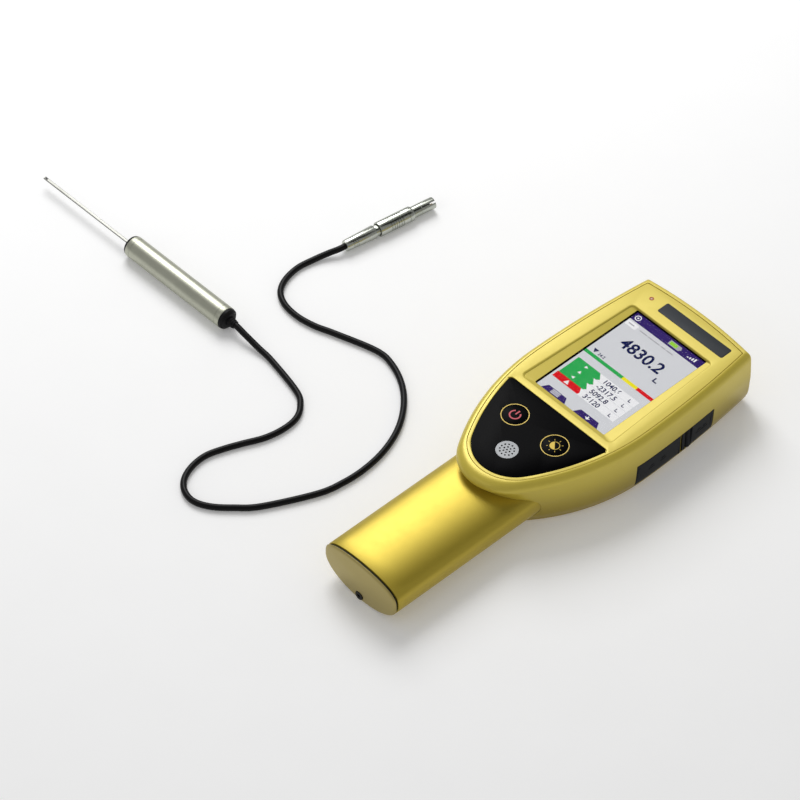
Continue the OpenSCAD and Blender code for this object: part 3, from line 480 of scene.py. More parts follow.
@dataclass(frozen=True)
class Finish:
    """A surface finish with sprayed or moulded grain, slow tone changes and worn edges."""

    name: str
    color: Rgb
    shade: Rgb
    roughness: float = 0.4
    metallic: float = 0.0
    amount: float = 0.3
    tone_scale: float = 30.0
    spread: float = 0.08
    grain_scale: float = 2500.0
    grain: float = 0.12
    worn: Rgb | None = None
    wear: float = 0.35
    coat: float = 0.0
    coat_roughness: float = 0.1
    stretch: Rgb | None = None
    sheen: float = 0.0
    specular: float = 0.5

    def group(self, g: Graph, tree: bpy.types.NodeTree, inputs: dict) -> bpy.types.Node:
        """Places a shared effect in this material."""
        node = g.add("ShaderNodeGroup")
        node.node_tree = tree
        for key, value in inputs.items():
            if isinstance(value, bpy.types.NodeSocket):
                g.tree.links.new(value, node.inputs[key])
            else:
                node.inputs[key].default_value = value
        return node

    def tint(self, g: Graph, color: bpy.types.NodeSocket) -> bpy.types.NodeSocket:
        """Changes the colour over the surface. Plain finishes leave it."""
        return color

    def build(self) -> bpy.types.Material:
        """Builds the material."""
        mat = bpy.data.materials.new(self.name)
        mat.use_nodes = True
        g = Graph(mat.node_tree)
        shader = g.tree.nodes["Principled BSDF"]
        tone = self.group(g, FX.tone, {
            "Color": rgba(self.color), "Shade": rgba(self.shade), "Amount": self.amount,
            "Scale": self.tone_scale, "Roughness": self.roughness, "Spread": self.spread})
        worn = self.group(g, FX.wear, {
            "Color": tone.outputs["Color"], "Worn": rgba(self.worn or self.color),
            "Amount": self.wear if self.worn else 0.0})
        g.tree.links.new(self.tint(g, worn.outputs["Color"]), shader.inputs["Base Color"])
        g.tree.links.new(tone.outputs["Roughness"], shader.inputs["Roughness"])
        if self.stretch:
            height = self.group(g, FX.brushed, {"Stretch": self.stretch, "Scale": self.grain_scale})
        else:
            height = self.group(g, FX.grain, {"Scale": self.grain_scale})
        bump = g.add("ShaderNodeBump", {"Height": height.outputs["Height"], "Strength": self.grain,
                                        "Distance": 0.00004})
        g.tree.links.new(bump.outputs["Normal"], shader.inputs["Normal"])
        shader.inputs["Metallic"].default_value = self.metallic
        shader.inputs["Coat Weight"].default_value = self.coat
        shader.inputs["Coat Roughness"].default_value = self.coat_roughness
        shader.inputs["Sheen Weight"].default_value = self.sheen
        shader.inputs["Specular IOR Level"].default_value = self.specular
        return mat


@dataclass(frozen=True)
class BoardFinish(Finish):
    """Solder mask over copper tracks."""

    def tint(self, g: Graph, color: bpy.types.NodeSocket) -> bpy.types.NodeSocket:
        """Adds lighter tracks and small pads."""
        place = g.add("ShaderNodeTexCoord").outputs["Object"]
        tracks = g.add("ShaderNodeTexBrick", {"Vector": place, "Scale": 260.0, "Mortar Size": 0.035,
                                              "Brick Width": 0.9, "Row Height": 0.32})
        pads = g.add("ShaderNodeTexVoronoi", {"Vector": place, "Scale": 420.0})
        dots = g.math("LESS_THAN", pads.outputs["Distance"], 0.16)
        lined = g.mix(tracks.outputs["Fac"], color, (0.10, 0.42, 0.24, 1))
        return g.mix(dots, lined, (0.62, 0.6, 0.5, 1))


@dataclass(frozen=True)
class ShellFinishWithPaintedShade(Finish):
    """Sprayed casing paint, with painted shade that darkens it towards the back of the casing."""

    # low is the colour of the painted shade, reached below z0 and faded out by z1.
    low: Rgb = (0.4, 0.3, 0.05)
    z0: float = 0.004
    z1: float = 0.031

    def tint(self, g: Graph, color: bpy.types.NodeSocket) -> bpy.types.NodeSocket:
        """Blends to the darker colour low on the sides, which is painted shade."""
        place = g.add("ShaderNodeTexCoord").outputs["Object"]
        height = g.add("ShaderNodeSeparateXYZ", {0: place}).outputs[2]
        ramp = g.add("ShaderNodeMapRange", {"Value": height, 1: self.z0, 2: self.z1})
        ramp.interpolation_type = "SMOOTHSTEP"
        return g.mix(ramp.outputs[0], rgba(self.low), color)


@dataclass(frozen=True)
class ScreenInk:
    """One colour of the lit display."""

    name: str
    color: Rgb
    strength: float = 0.85

    def build(self) -> bpy.types.Material:
        """Builds the material: a lit colour under a faint grid of dots."""
        mat = bpy.data.materials.new(self.name)
        mat.use_nodes = True
        g = Graph(mat.node_tree)
        shader = g.tree.nodes["Principled BSDF"]
        node = g.add("ShaderNodeGroup")
        node.node_tree = FX.pixels
        node.inputs["Color"].default_value = rgba(self.color)
        g.tree.links.new(node.outputs["Color"], shader.inputs["Emission Color"])
        dim = g.mix(0.93, node.outputs["Color"], (0.0, 0.0, 0.0, 1))
        g.tree.links.new(dim, shader.inputs["Base Color"])
        shader.inputs["Emission Strength"].default_value = self.strength
        shader.inputs["Roughness"].default_value = 0.6
        shader.inputs["Specular IOR Level"].default_value = 0.05
        return mat


@dataclass(frozen=True)
class ClearFinish:
    """Clear sheet or lens with faint smears."""

    name: str
    color: Rgb
    roughness: float = 0.02
    ior: float = 1.45
    transmission: float = 1.0

    def build(self) -> bpy.types.Material:
        """Builds the material."""
        mat = bpy.data.materials.new(self.name)
        mat.use_nodes = True
        g = Graph(mat.node_tree)
        shader = g.tree.nodes["Principled BSDF"]
        place = g.add("ShaderNodeTexCoord").outputs["Object"]
        smear = g.add("ShaderNodeTexNoise", {"Vector": place, "Scale": 60.0, "Detail": 4.0})
        spread = g.add("ShaderNodeMapRange", {"Value": smear.outputs["Fac"], 3: self.roughness,
                                              4: self.roughness + 0.05})
        g.tree.links.new(spread.outputs[0], shader.inputs["Roughness"])
        shader.inputs["Base Color"].default_value = rgba(self.color)
        shader.inputs["IOR"].default_value = self.ior
        shader.inputs["Transmission Weight"].default_value = self.transmission
        return mat


class Paints:
    """Every finish of the object, built once."""

    def __init__(self) -> None:
        """Builds the materials."""
        # The shell's low colour is painted shade on the lower sides.
        self.shell = ShellFinishWithPaintedShade("shell_paint_with_painted_shade", (0.66, 0.53, 0.065), (0.58, 0.46, 0.05), roughness=0.36,
                                 metallic=0.25, amount=0.25, grain=0.10, worn=(0.9, 0.78, 0.3), wear=0.2,
                                 coat=0.12, coat_roughness=0.25, low=(0.34, 0.25, 0.016)).build()
        self.panel = Finish("panel_paint", (0.68, 0.55, 0.075), (0.62, 0.50, 0.06), roughness=0.4,
                            metallic=0.2, amount=0.25, grain=0.12, coat=0.1, coat_roughness=0.3).build()
        self.handle = Finish("handle_paint", (0.50, 0.38, 0.04), (0.45, 0.34, 0.03), roughness=0.38,
                             metallic=0.55, amount=0.3, grain=0.05, tone_scale=22).build()
        self.cap = Finish("end_cap_paint", (0.42, 0.34, 0.12), (0.34, 0.28, 0.10), roughness=0.36,
                          metallic=0.6, grain=0.2, grain_scale=3500).build()
        self.back = Finish("back_cover_paint", (0.46, 0.33, 0.045), (0.40, 0.28, 0.04), roughness=0.45,
                           metallic=0.15, grain=0.3).build()
        self.rubber = Finish("cover_rubber", (0.010, 0.011, 0.013), (0.016, 0.018, 0.020), roughness=0.5,
                             grain=0.25, grain_scale=4200, amount=0.5, specular=0.12).build()
        self.seal = Finish("seal_rubber", (0.005, 0.005, 0.006), (0.01, 0.01, 0.01), roughness=0.6,
                           grain=0.3, specular=0.15).build()
        self.foam = Finish("gasket_foam", (0.015, 0.015, 0.016), (0.04, 0.04, 0.04), roughness=0.9, grain=0.8,
                           grain_scale=1800).build()
        self.gloss = Finish("keypad_gloss", (0.0006, 0.0006, 0.001), (0.001, 0.001, 0.0016), roughness=0.3,
                            grain=0.02, spread=0.04, specular=0.02).build()
        self.ring = Finish("key_ring_gold", (0.36, 0.27, 0.07), (0.30, 0.22, 0.05), roughness=0.4,
                           metallic=0.7, grain=0.05).build()
        self.red_ink = Finish("power_ink", (0.62, 0.03, 0.06), (0.5, 0.02, 0.05), roughness=0.45,
                              grain=0.05).build()
        self.yellow_ink = Finish("light_ink", (0.85, 0.6, 0.03), (0.75, 0.5, 0.02), roughness=0.45,
                                 grain=0.05).build()
        self.plate = Finish("plate_slate", (0.03, 0.034, 0.039), (0.038, 0.042, 0.048), roughness=0.5,
                            metallic=0.2, specular=0.2, grain=0.2, stretch=(0.06, 1.0, 1.0), grain_scale=4000).build()
        self.mesh_metal = Finish("grille_metal", (0.17, 0.175, 0.18), (0.12, 0.125, 0.13), roughness=0.4,
                                 metallic=1.0, grain=0.2, stretch=(1.0, 0.05, 1.0)).build()
        self.steel = Finish("screw_steel", (0.55, 0.55, 0.56), (0.38, 0.38, 0.4), roughness=0.33,
                            metallic=1.0, grain=0.2).build()
        self.spring = Finish("spring_steel", (0.62, 0.6, 0.56), (0.45, 0.44, 0.42), roughness=0.28,
                             metallic=1.0, grain=0.1).build()
        self.tin = Finish("tinned_can", (0.66, 0.67, 0.68), (0.5, 0.5, 0.5), roughness=0.36,
                          metallic=1.0, grain=0.25, stretch=(0.08, 1.0, 1.0)).build()
        self.socket = Finish("socket_plate", (0.60, 0.61, 0.58), (0.45, 0.46, 0.43), roughness=0.25,
                             metallic=1.0, grain=0.15).build()
        self.plug = Finish("plug_plate", (0.40, 0.42, 0.37), (0.30, 0.31, 0.27), roughness=0.22,
                           metallic=1.0, amount=0.4, grain=0.14, grain_scale=5000,
                           worn=(0.75, 0.76, 0.72), wear=0.6).build()
        self.plastic = Finish("black_moulding", (0.004, 0.004, 0.0045), (0.008, 0.008, 0.009), roughness=0.45,
                              grain=0.3, specular=0.15, worn=(0.03, 0.03, 0.03)).build()
        self.chip = Finish("chip_epoxy", (0.02, 0.02, 0.022), (0.04, 0.04, 0.042), roughness=0.55,
                           grain=0.4).build()
        self.board = BoardFinish("board_mask", (0.012, 0.16, 0.07), (0.01, 0.12, 0.05), roughness=0.35,
                                 grain=0.1).build()
        self.white = Finish("lamp_frame", (0.72, 0.72, 0.7), (0.62, 0.62, 0.6), roughness=0.5,
                            grain=0.2).build()
        self.ribbon = Finish("ribbon_film", (0.42, 0.22, 0.04), (0.5, 0.3, 0.08), roughness=0.35, grain=0.2,
                             stretch=(1.0, 0.02, 0.02), grain_scale=1500).build()
        self.cell = Finish("cell_sleeve", (0.02, 0.14, 0.38), (0.015, 0.1, 0.3), roughness=0.25,
                           grain=0.08, coat=0.3).build()
        self.label = Finish("blank_label", (0.6, 0.6, 0.58), (0.5, 0.5, 0.48), roughness=0.4,
                            grain=0.2).build()
        self.stem = Finish("stem_metal", (0.20, 0.20, 0.185), (0.15, 0.15, 0.135), roughness=0.3,
                           metallic=0.9, grain=0.2, stretch=(0.04, 1.0, 1.0)).build()
        self.barrel = Finish("barrel_anodised", (0.43, 0.44, 0.36), (0.35, 0.36, 0.29), roughness=0.40,
                             metallic=0.95, amount=0.35, grain=0.16, stretch=(1.0, 0.04, 0.04),
                             grain_scale=5000, worn=(0.8, 0.78, 0.66), wear=0.4).build()
        self.jacket = Finish("lead_jacket", (0.0025, 0.0025, 0.003), (0.005, 0.005, 0.0055), roughness=0.4,
                             grain=0.25, grain_scale=3200, amount=0.5, specular=0.15).build()
        self.insulator = Finish("insulator", (0.64, 0.6, 0.5), (0.55, 0.5, 0.4), roughness=0.5,
                                grain=0.15).build()
        self.contact = Finish("contact_gold", (0.75, 0.5, 0.14), (0.6, 0.38, 0.1), roughness=0.25,
                              metallic=1.0, grain=0.08).build()
        self.window = ClearFinish("window_clear", (1.0, 1.0, 1.0), ior=1.08).build()
        self.lamp = ClearFinish("lamp_red", (0.85, 0.62, 0.45), roughness=0.2, transmission=0.2).build()
        self.lamp_ring = Finish("lamp_ring", (0.60, 0.13, 0.03), (0.50, 0.10, 0.02), roughness=0.4,
                                grain=0.1).build()
        self.paper = ScreenInk("screen_ground", (0.70, 0.71, 0.74)).build()
        self.indigo = ScreenInk("screen_indigo", (0.035, 0.016, 0.15)).build()
        self.navy = ScreenInk("screen_navy", (0.006, 0.010, 0.075)).build()
        self.snow = ScreenInk("screen_white", (0.92, 0.92, 0.94)).build()
        self.green = ScreenInk("screen_green", (0.025, 0.42, 0.09)).build()
        self.lime = ScreenInk("screen_lime", (0.33, 0.72, 0.05)).build()
        self.amber = ScreenInk("screen_yellow", (0.93, 0.82, 0.02)).build()
        self.scarlet = ScreenInk("screen_red", (0.75, 0.006, 0.012)).build()
        self.rule = ScreenInk("screen_grey", (0.42, 0.42, 0.45)).build()


# ------------------------------------------------------------------ camera, light and table


@dataclass
class Studio:
    """Camera, lights and the pale table."""

    yaw: float = 47.1
    pitch: float = 47.45
    distance: float = 2.318
    look: tuple[float, float, float] = (-0.086, -0.0535, 0.0)
    lens: float = 200.0
    glow: float = 0.14

    def camera(self) -> bpy.types.Object:
        """Places the camera and makes it the scene's."""
        data = bpy.data.cameras.new("camera")
        data.lens = self.lens
        data.sensor_width = 36.0
        data.clip_end = 50.0
        cam = bpy.data.objects.new("camera", data)
        yaw, pitch = math.radians(self.yaw), math.radians(self.pitch)
        ahead = Vector((-math.sin(yaw) * math.cos(pitch), math.cos(yaw) * math.cos(pitch),
                        -math.sin(pitch)))
        cam.location = Vector(self.look) - ahead * self.distance
        cam.rotation_euler = (math.pi / 2 - pitch, 0.0, yaw)
        bpy.context.scene.collection.objects.link(cam)
        bpy.context.scene.camera = cam
        return cam

    def softbox(self, name: str, at: tuple[float, float, float], aim: tuple[float, float, float],
                size: tuple[float, float], power: float, tint: Rgb = (1.0, 1.0, 1.0)) -> None:
        """Adds one rectangular soft light, aimed at a point."""
        data = bpy.data.lights.new(name, "AREA")
        data.shape = "RECTANGLE"
        data.size, data.size_y = size
        data.energy = power
        data.color = tint
        light = bpy.data.objects.new(name, data)
        light.location = at
        light.rotation_euler = (Vector(aim) - Vector(at)).to_track_quat("-Z", "Y").to_euler()
        bpy.context.scene.collection.objects.link(light)

    def lights(self) -> None:
        """Adds the key, the fill and the sky."""
        self.softbox("key_light", (-0.85, 0.35, 0.95), (-0.05, -0.05, 0.0), (0.55, 0.9), 8.6)
        self.softbox("top_light", (-0.75, 0.75, 1.1), (-0.05, -0.02, 0.0), (0.7, 0.5), 2.6)
        self.softbox("front_fill", (-0.25, -1.2, 0.8), (-0.05, -0.05, 0.0), (0.9, 0.5), 0.8)
        world = bpy.data.worlds.new("studio")
        world.use_nodes = True
        back = world.node_tree.nodes["Background"]
        back.inputs["Color"].default_value = (1.0, 1.0, 1.0, 1.0)
        back.inputs["Strength"].default_value = 0.38
        bpy.context.scene.world = world
        bpy.context.scene.view_settings.view_transform = "Standard"

    def table(self) -> None:
        """Adds the pale table top."""
        kit = MeshKit()
        bmesh.ops.create_grid(kit.bm, x_segments=8, y_segments=8, size=5.0)
        top = kit.done("table_top")
        finish = Finish("table_white", (0.93, 0.93, 0.93), (0.90, 0.90, 0.90), roughness=0.7, grain=0.02,
                        specular=0.2)
        paint = finish.build()
        shader = paint.node_tree.nodes["Principled BSDF"]
        shader.inputs["Emission Color"].default_value = (1.0, 1.0, 1.0, 1.0)
        shader.inputs["Emission Strength"].default_value = self.glow
        top.data.materials.append(paint)

    def flag(self) -> None:
        """Hangs a dark card that only shows as a soft band in the handle's gloss."""
        kit = MeshKit()
        bmesh.ops.create_grid(kit.bm, x_segments=2, y_segments=2, size=0.5)
        at = Vector((0.33, 0.42, 0.95))
        turn = (-at).to_track_quat("Z", "Y").to_matrix().to_4x4()
        card = kit.done("dark_card", Matrix.Translation(at) @ turn @ Matrix.Diagonal((0.5, 0.9, 1.0, 1.0)))
        card.data.materials.append(Finish("card_black", (0.01, 0.01, 0.01), (0.012, 0.012, 0.012),
                                          roughness=0.9, grain=0.02, specular=0.0).build())
        card.visible_camera = False
        card.visible_diffuse = False
        card.visible_shadow = False

    def build(self) -> None:
        """Makes the camera first, then the table and the lights."""
        self.camera()
        self.table()
        self.flag()
        self.lights()


# ------------------------------------------------------------------ head


@dataclass(frozen=True)
class Level:
    """One height of the casing: inset from the widest outline, nose draw-back and side radius."""

    z: float
    inset: float
    back: float
    side: float


@dataclass
class HeadShape:
    """The head's outline, built of tangent arcs, in metres."""

    half_w: float = 44 * MM
    top: float = 82.6 * MM
    nose: float = 85 * MM
    side_r: float = 135 * MM
    low_r: float = 110 * MM
    upper_r: float = 610 * MM
    crown_r: float = 260 * MM
    corner_r: float = 3 * MM
    top_share: float = 0.7
    steps: tuple[int, int, int, int, int] = (26, 30, 20, 8, 16)

    def corner(self, inset: float, top: float, r: float) -> Vector:
        """Centre of the corner's arc, inside the side's arc and the crown's."""
        side_x = self.upper_r - self.half_w
        cy = top - (self.crown_r - inset)
        a = self.upper_r - inset - r
        b = self.crown_r - inset - r
        span = math.hypot(side_x, cy)
        along = (a * a - b * b + span * span) / (2 * span)
        out = math.sqrt(a * a - along * along)
        dx, dy = side_x / span, cy / span
        return Vector((-side_x + along * dx - out * dy, along * dy + out * dx))

    def ring(self, inset: float, back: float, top_inset: float, z: float,
             side: float | None = None) -> list[Vector]:
        """Points round the outline at one height.

        Args:
            inset: Distance inside the widest outline.
            back: How far the nose is drawn back.
            top_inset: How far the top end is drawn in.
            z: Height.
            side: Radius of the lower sides.

        Returns:
            The points, anticlockwise from the nose.
        """
        side_r = side or self.side_r
        cx = side_r - self.half_w
        ls = side_r - inset
        tip = -self.nose + back
        nr = (ls * ls - cx * cx - tip * tip) / (2 * (ls + tip))
        cn = nr + tip
        an = math.atan2(cn, cx)
        top = self.top - top_inset
        cr = self.crown_r - inset
        rc = max(self.corner_r - inset, 1 * MM)
        k = self.corner(inset, top, rc)
        us_x = self.upper_r - self.half_w
        ak = math.atan2(k.y, k.x + us_x)
        ac = math.atan2(k.y - (top - cr), k.x)
        arcs = [((0.0, cn), nr, -math.pi / 2, an), ((-cx, 0.0), ls, an, 0.0),
                ((-us_x, 0.0), self.upper_r - inset, 0.0, ak), ((k.x, k.y), rc, ak, ac),
                ((0.0, top - cr), cr, ac, math.pi / 2)]
        half = []
        for (centre, r, a0, a1), count in zip(arcs, self.steps):
            half += circle_points(*centre, r, count, a0, a1 - a0)
        half.append((0.0, top))
        mirrored = [(-x, y) for x, y in reversed(half[1:-1])]
        return [Vector((x, y, z)) for x, y in half + mirrored]

    def level_ring(self, lv: Level) -> list[Vector]:
        """Points of one casing level."""
        return self.ring(lv.inset, lv.back, self.top_share * lv.inset, lv.z, lv.side)


def blend_levels(knots: Sequence[Level], count: int) -> list[Level]:
    """Smooth levels between knots, by a monotone cubic in height.

    Args:
        knots: Levels from low to high.
        count: How many levels to make.

    Returns:
        The levels, ends included.
    """
    def slope(i: int, get: Callable[[Level], float]) -> float:
        if i in (0, len(knots) - 1):
            j = 0 if i == 0 else len(knots) - 2
            return (get(knots[j + 1]) - get(knots[j])) / (knots[j + 1].z - knots[j].z)
        left = (get(knots[i]) - get(knots[i - 1])) / (knots[i].z - knots[i - 1].z)
        right = (get(knots[i + 1]) - get(knots[i])) / (knots[i + 1].z - knots[i].z)
        return 0.0 if left * right <= 0 else 2 * left * right / (left + right)

    def value(z: float, get: Callable[[Level], float]) -> float:
        i = max(j for j in range(len(knots) - 1) if knots[j].z <= z + 1e-9)
        a, b = knots[i], knots[i + 1]
        h = b.z - a.z
        t = (z - a.z) / h
        return ((2 * t ** 3 - 3 * t ** 2 + 1) * get(a) + (t ** 3 - 2 * t ** 2 + t) * h * slope(i, get)
                + (3 * t ** 2 - 2 * t ** 3) * get(b) + (t ** 3 - t ** 2) * h * slope(i + 1, get))

    z0, z1 = knots[0].z, knots[-1].z
    out = []
    for n in range(count + 1):
        z = z0 + (z1 - z0) * n / count
        out.append(Level(z, value(z, lambda k: k.inset), value(z, lambda k: k.back),
                         value(z, lambda k: k.side)))
    return out


@dataclass
class Casing:
    """The casing shell, its back cover, the front panel and what is set in them."""

    paints: Paints
    shape: HeadShape = field(default_factory=HeadShape)
    wall: float = 4.6 * MM
    panel_inset: float = 4.8 * MM
    panel_back: float = 6.7 * MM
    panel_top: float = 4.6 * MM
    groove: float = 0.3 * MM
    step: float = 0.05 * MM

    def side_levels(self) -> list[Level]:
        """Levels up the side, and round the shoulder to the flat rim."""
        z0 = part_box("front_shell")[0][2]
        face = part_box("bezel_panel")[1][2]
        low = self.shape.low_r
        step = self.shape.side_r - low
        knots = [Level(z0, 2.1 * MM, 8.2 * MM, low), Level(8 * MM, 0.7 * MM, 7.5 * MM, low),
                 Level(15 * MM, 0.2 * MM, 7 * MM, low + 0.1 * step),
                 Level(20 * MM, 0.0, 6 * MM, low + 0.3 * step),
                 Level(27 * MM, 0.25 * MM, 3.2 * MM, low + 0.7 * step),
                 Level(face - 5 * MM, 0.5 * MM, 0.0, self.shape.side_r)]
        levels = blend_levels(knots, 26)
        first = levels[-1]
        width = self.panel_inset - self.groove - first.inset
        drop = face - first.z
        for i in range(1, 13):
            a = math.pi / 2 * i / 12
            share = 1 - math.cos(a)
            levels.append(Level(first.z + drop * math.sin(a), first.inset + width * share,
                                (self.panel_back - self.groove) * share, self.shape.side_r))
        return levels

    def shell(self) -> None:
        """The deep casing shell with its port recess, socket hole and handle opening."""
        s = self.shape
        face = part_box("bezel_panel")[1][2]
        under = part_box("bezel_panel")[1][2] - 1.6 * MM
        rings = [s.level_ring(lv) for lv in self.side_levels()]
        rim = (self.panel_inset - self.groove, self.panel_back - self.groove, self.panel_top - self.groove)
        rings[-1] = s.ring(*rim, face)
        rings.append(s.ring(*rim, under))
        ledge = (self.panel_inset + 1.8 * MM, self.panel_back + 1.8 * MM, self.panel_top + 2.2 * MM)
        rings.append(s.ring(*ledge, under - self.step))
        rings.append(s.ring(*ledge, face - 5 * MM))
        inner = (self.wall, 13 * MM, self.wall)
        rings.append(s.ring(*inner, face - 5 * MM - self.step, s.low_r))
        rings.append(s.ring(*inner, rings[0][0].z + self.step, s.low_r))
        kit = MeshKit()
        loops = [kit.ring(r) for r in rings]
        for low, high in zip(loops, loops[1:] + loops[:1]):
            kit.bridge(low, high)
        shell = kit.done("casing_shell")
        cut(shell, *self.cutters())
        mod = shell.modifiers.new("even_normals", "WEIGHTED_NORMAL")
        mod.keep_sharp = True
        show(shell, Body.METER, self.paints.shell, "shell_face", "front_shell")

    def cutters(self) -> list[bpy.types.Object]:
        """Solids for what is cut out of the shell."""
        s = self.shape
        rear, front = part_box("port_cover_rear"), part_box("port_cover_front")
        gap = 0.3 * MM
        y0, y1 = rear[0][1] - gap, front[1][1] + gap
        z0, z1 = rear[0][2] - gap, rear[1][2] + gap
        depth = 2.4 * MM
        inner = [p for p in s.ring(depth, 0, depth, z0) if p.x > 0 and y0 < p.y < y1]
        wall = [(s.half_w - depth, y0)] + [(p.x, p.y) for p in inner] + [(inner[-1].x - 0.1 * MM, y1)]
        outer = [(s.half_w + 9 * MM, y1), (s.half_w + 9 * MM, y0)]
        recess = loft("recess", [[Vector((x, y, z)) for x, y in wall + outer] for z in (z0, z1)],
                      smooth=False)
        handle = HandleShape()
        tube = loft("handle_hole", [handle.ring(-0.15 * MM, y) for y in (-0.1, -0.0517)])
        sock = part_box("probe_socket")
        mid = Vector((0, 0, (sock[0][2] + sock[1][2]) / 2))
        bore = lathe("socket_hole", [(0.07, 0.0), (0.07, 6.1 * MM), (0.088, 6.1 * MM), (0.088, 0.0)],
                     Matrix.Translation(mid) @ Matrix.Rotation(math.pi / 2, 4, "Z"))
        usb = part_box("usb_socket")
        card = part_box("card_slot")
        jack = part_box("charge_jack")
        slots = [block("usb_hole", (36 * MM, usb[0][1] - 0.4 * MM, usb[0][2] - 0.2 * MM),
                       (46 * MM, usb[1][1] + 0.4 * MM, usb[1][2] + 0.3 * MM)),
                 block("card_hole", (32 * MM, card[0][1] + 0.3 * MM, card[0][2] - 0.2 * MM),
                       (46 * MM, card[1][1] - 0.3 * MM, card[1][2] + 0.2 * MM))]
        jack_at = Matrix.Translation((0, (jack[0][1] + jack[1][1]) / 2, jack[0][2] + 3.4 * MM))
        slots.append(lathe("jack_hole", [(36 * MM, 0.0), (36 * MM, 3.2 * MM), (46 * MM, 3.2 * MM),
                                         (46 * MM, 0.0)], jack_at))
        return [recess, tube, bore, *slots]

    def funnel(self, depth_share: float, grow: float, z: float) -> list[Vector]:
        """Rounded outline of the display's sloped opening at one height.

        Args:
            depth_share: 0 at the back of the panel and 1 at its face.
            grow: Extra width for the softened lip.
            z: Height.

        Returns:
            The points.
        """
        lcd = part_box("display_window")
        cy = (lcd[0][1] + lcd[1][1]) / 2
        hw = 25.2 * MM
        y0, y1 = cy - 37.4 * MM, cy + 37.1 * MM
        low = hw + 7.2 * MM * depth_share + grow
        high = hw + 3.8 * MM * depth_share + grow
        y0 -= 2.6 * MM * depth_share + grow
        y1 += grow
        r = (0.8 + 1.6 * depth_share) * MM + grow
        flat = rounded_rect(0, 0, 2, 2, 0.2, 6)
        points = []
        corners = [(high, y1), (-high, y1), (-low, y0), (low, y0)]
        for i in range(4):
            for x, y in flat[i * 7:(i + 1) * 7]:
                sx, sy = math.copysign(1, corners[i][0]), 1 if i < 2 else -1
                fx = (x - sx * 0.8) / 0.2
                fy = (y - sy * 0.8) / 0.2
                points.append(Vector((corners[i][0] + (fx - sx) * r, corners[i][1] + (fy - sy) * r, z)))
        return points

    def pad_ring(self, grow: float, z: float) -> list[Vector]:
        """Keypad outline: the panel's nose arcs closed by a straight top with rounded corners."""
        s = self.shape
        top_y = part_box("keypad_overlay")[1][1] + grow
        inset, back = self.panel_inset + 2 * MM - grow, self.panel_back + 2 * MM - grow
        full = s.ring(inset, back, 20 * MM, z)
        r = 2.2 * MM
        right = [p for p in full if p.x >= 0 and p.y < top_y - r]
        edge = right[-1]
        ahead = (edge - right[-2]).normalized()
        lean = math.atan2(ahead.y, ahead.x) - math.pi / 2
        cx = edge.x - r + 0.25 * r
        cy = top_y - r
        arc = circle_points(cx, cy, r, 7, lean, math.pi / 2 - lean)
        right += [Vector((x, y, z)) for x, y in arc] + [Vector((cx, top_y, z))]
        left = [Vector((-p.x, p.y, z)) for p in reversed(right) if p.x > 1e-9]
        return right + left

    def panel(self) -> None:
        """The inset front panel with its openings."""
        s = self.shape
        low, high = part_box("bezel_panel")
        face = high[2]
        under = face - 1.6 * MM
        edge = 0.25 * MM
        outline = (self.panel_inset, self.panel_back, self.panel_top)
        rings = [s.ring(*outline, under)]
        for i in range(5):
            a = math.pi / 2 * i / 4
            grow = edge * (1 - math.cos(a))
            rings.append(s.ring(*(v + grow for v in outline), face - edge + edge * math.sin(a)))
        panel = loft("front_panel", rings)
        lip = 0.7 * MM
        walls = [self.funnel(-0.3, 0, under - 0.5 * MM), self.funnel(0.0, 0, under),
                 self.funnel(0.9, 0, face - lip)]
        for i in range(1, 6):
            a = math.pi / 2 * i / 5
            walls.append(self.funnel(0.9 + 0.1 * i / 5, lip * (1 - math.cos(a)), face - lip * (1 - math.sin(a))))
        walls.append(self.funnel(1.0, lip + 0.4 * MM, face + 0.5 * MM))
        funnel = loft("funnel", walls)
        pad_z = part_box("keypad_overlay")[0][2]
        soft = 0.2 * MM
        pad_rings = [self.pad_ring(0.15 * MM, pad_z), self.pad_ring(0.15 * MM, face - soft)]
        for i in range(1, 4):
            a = math.pi / 2 * i / 3
            pad_rings.append(self.pad_ring(0.15 * MM + soft * (1 - math.cos(a)), face - soft * (1 - math.sin(a))))
        pad_rings.append(self.pad_ring(0.5 * MM, face + 0.4 * MM))
        pad = loft("pad_recess", pad_rings)
        plate_low, plate_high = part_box("name_plate")
        cx, cy = (plate_low[0] + plate_high[0]) / 2, (plate_low[1] + plate_high[1]) / 2
        w, h = plate_high[0] - plate_low[0] + 0.2 * MM, plate_high[1] - plate_low[1] + 0.2 * MM
        slot = loft("plate_slot", [[Vector((x, y, z)) for x, y in rounded_rect(cx, cy, w, h, 1.1 * MM)]
                                   for z in (plate_low[2], face + MM)], smooth=False)
        lamp_low, lamp_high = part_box("status_lamp")
        lx, ly = (lamp_low[0] + lamp_high[0]) / 2, (lamp_low[1] + lamp_high[1]) / 2
        holes = [loft("lamp_hole", [[Vector((x, y, z)) for x, y in circle_points(lx, ly, 1.3 * MM)]
                                    for z in (under - MM, face + MM)])]
        for key in ("power_key", "light_key"):
            a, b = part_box(key)
            points = circle_points((a[0] + b[0]) / 2, (a[1] + b[1]) / 2, 7.4 * MM, 48)
            holes.append(loft("key_hole", [[Vector((x, y, z)) for x, y in points]
                                           for z in (under - MM, face + MM)]))
        cut(panel, funnel, pad, slot, *holes)
        show(panel, Body.METER, self.paints.panel, "shell_face", "bezel_panel")

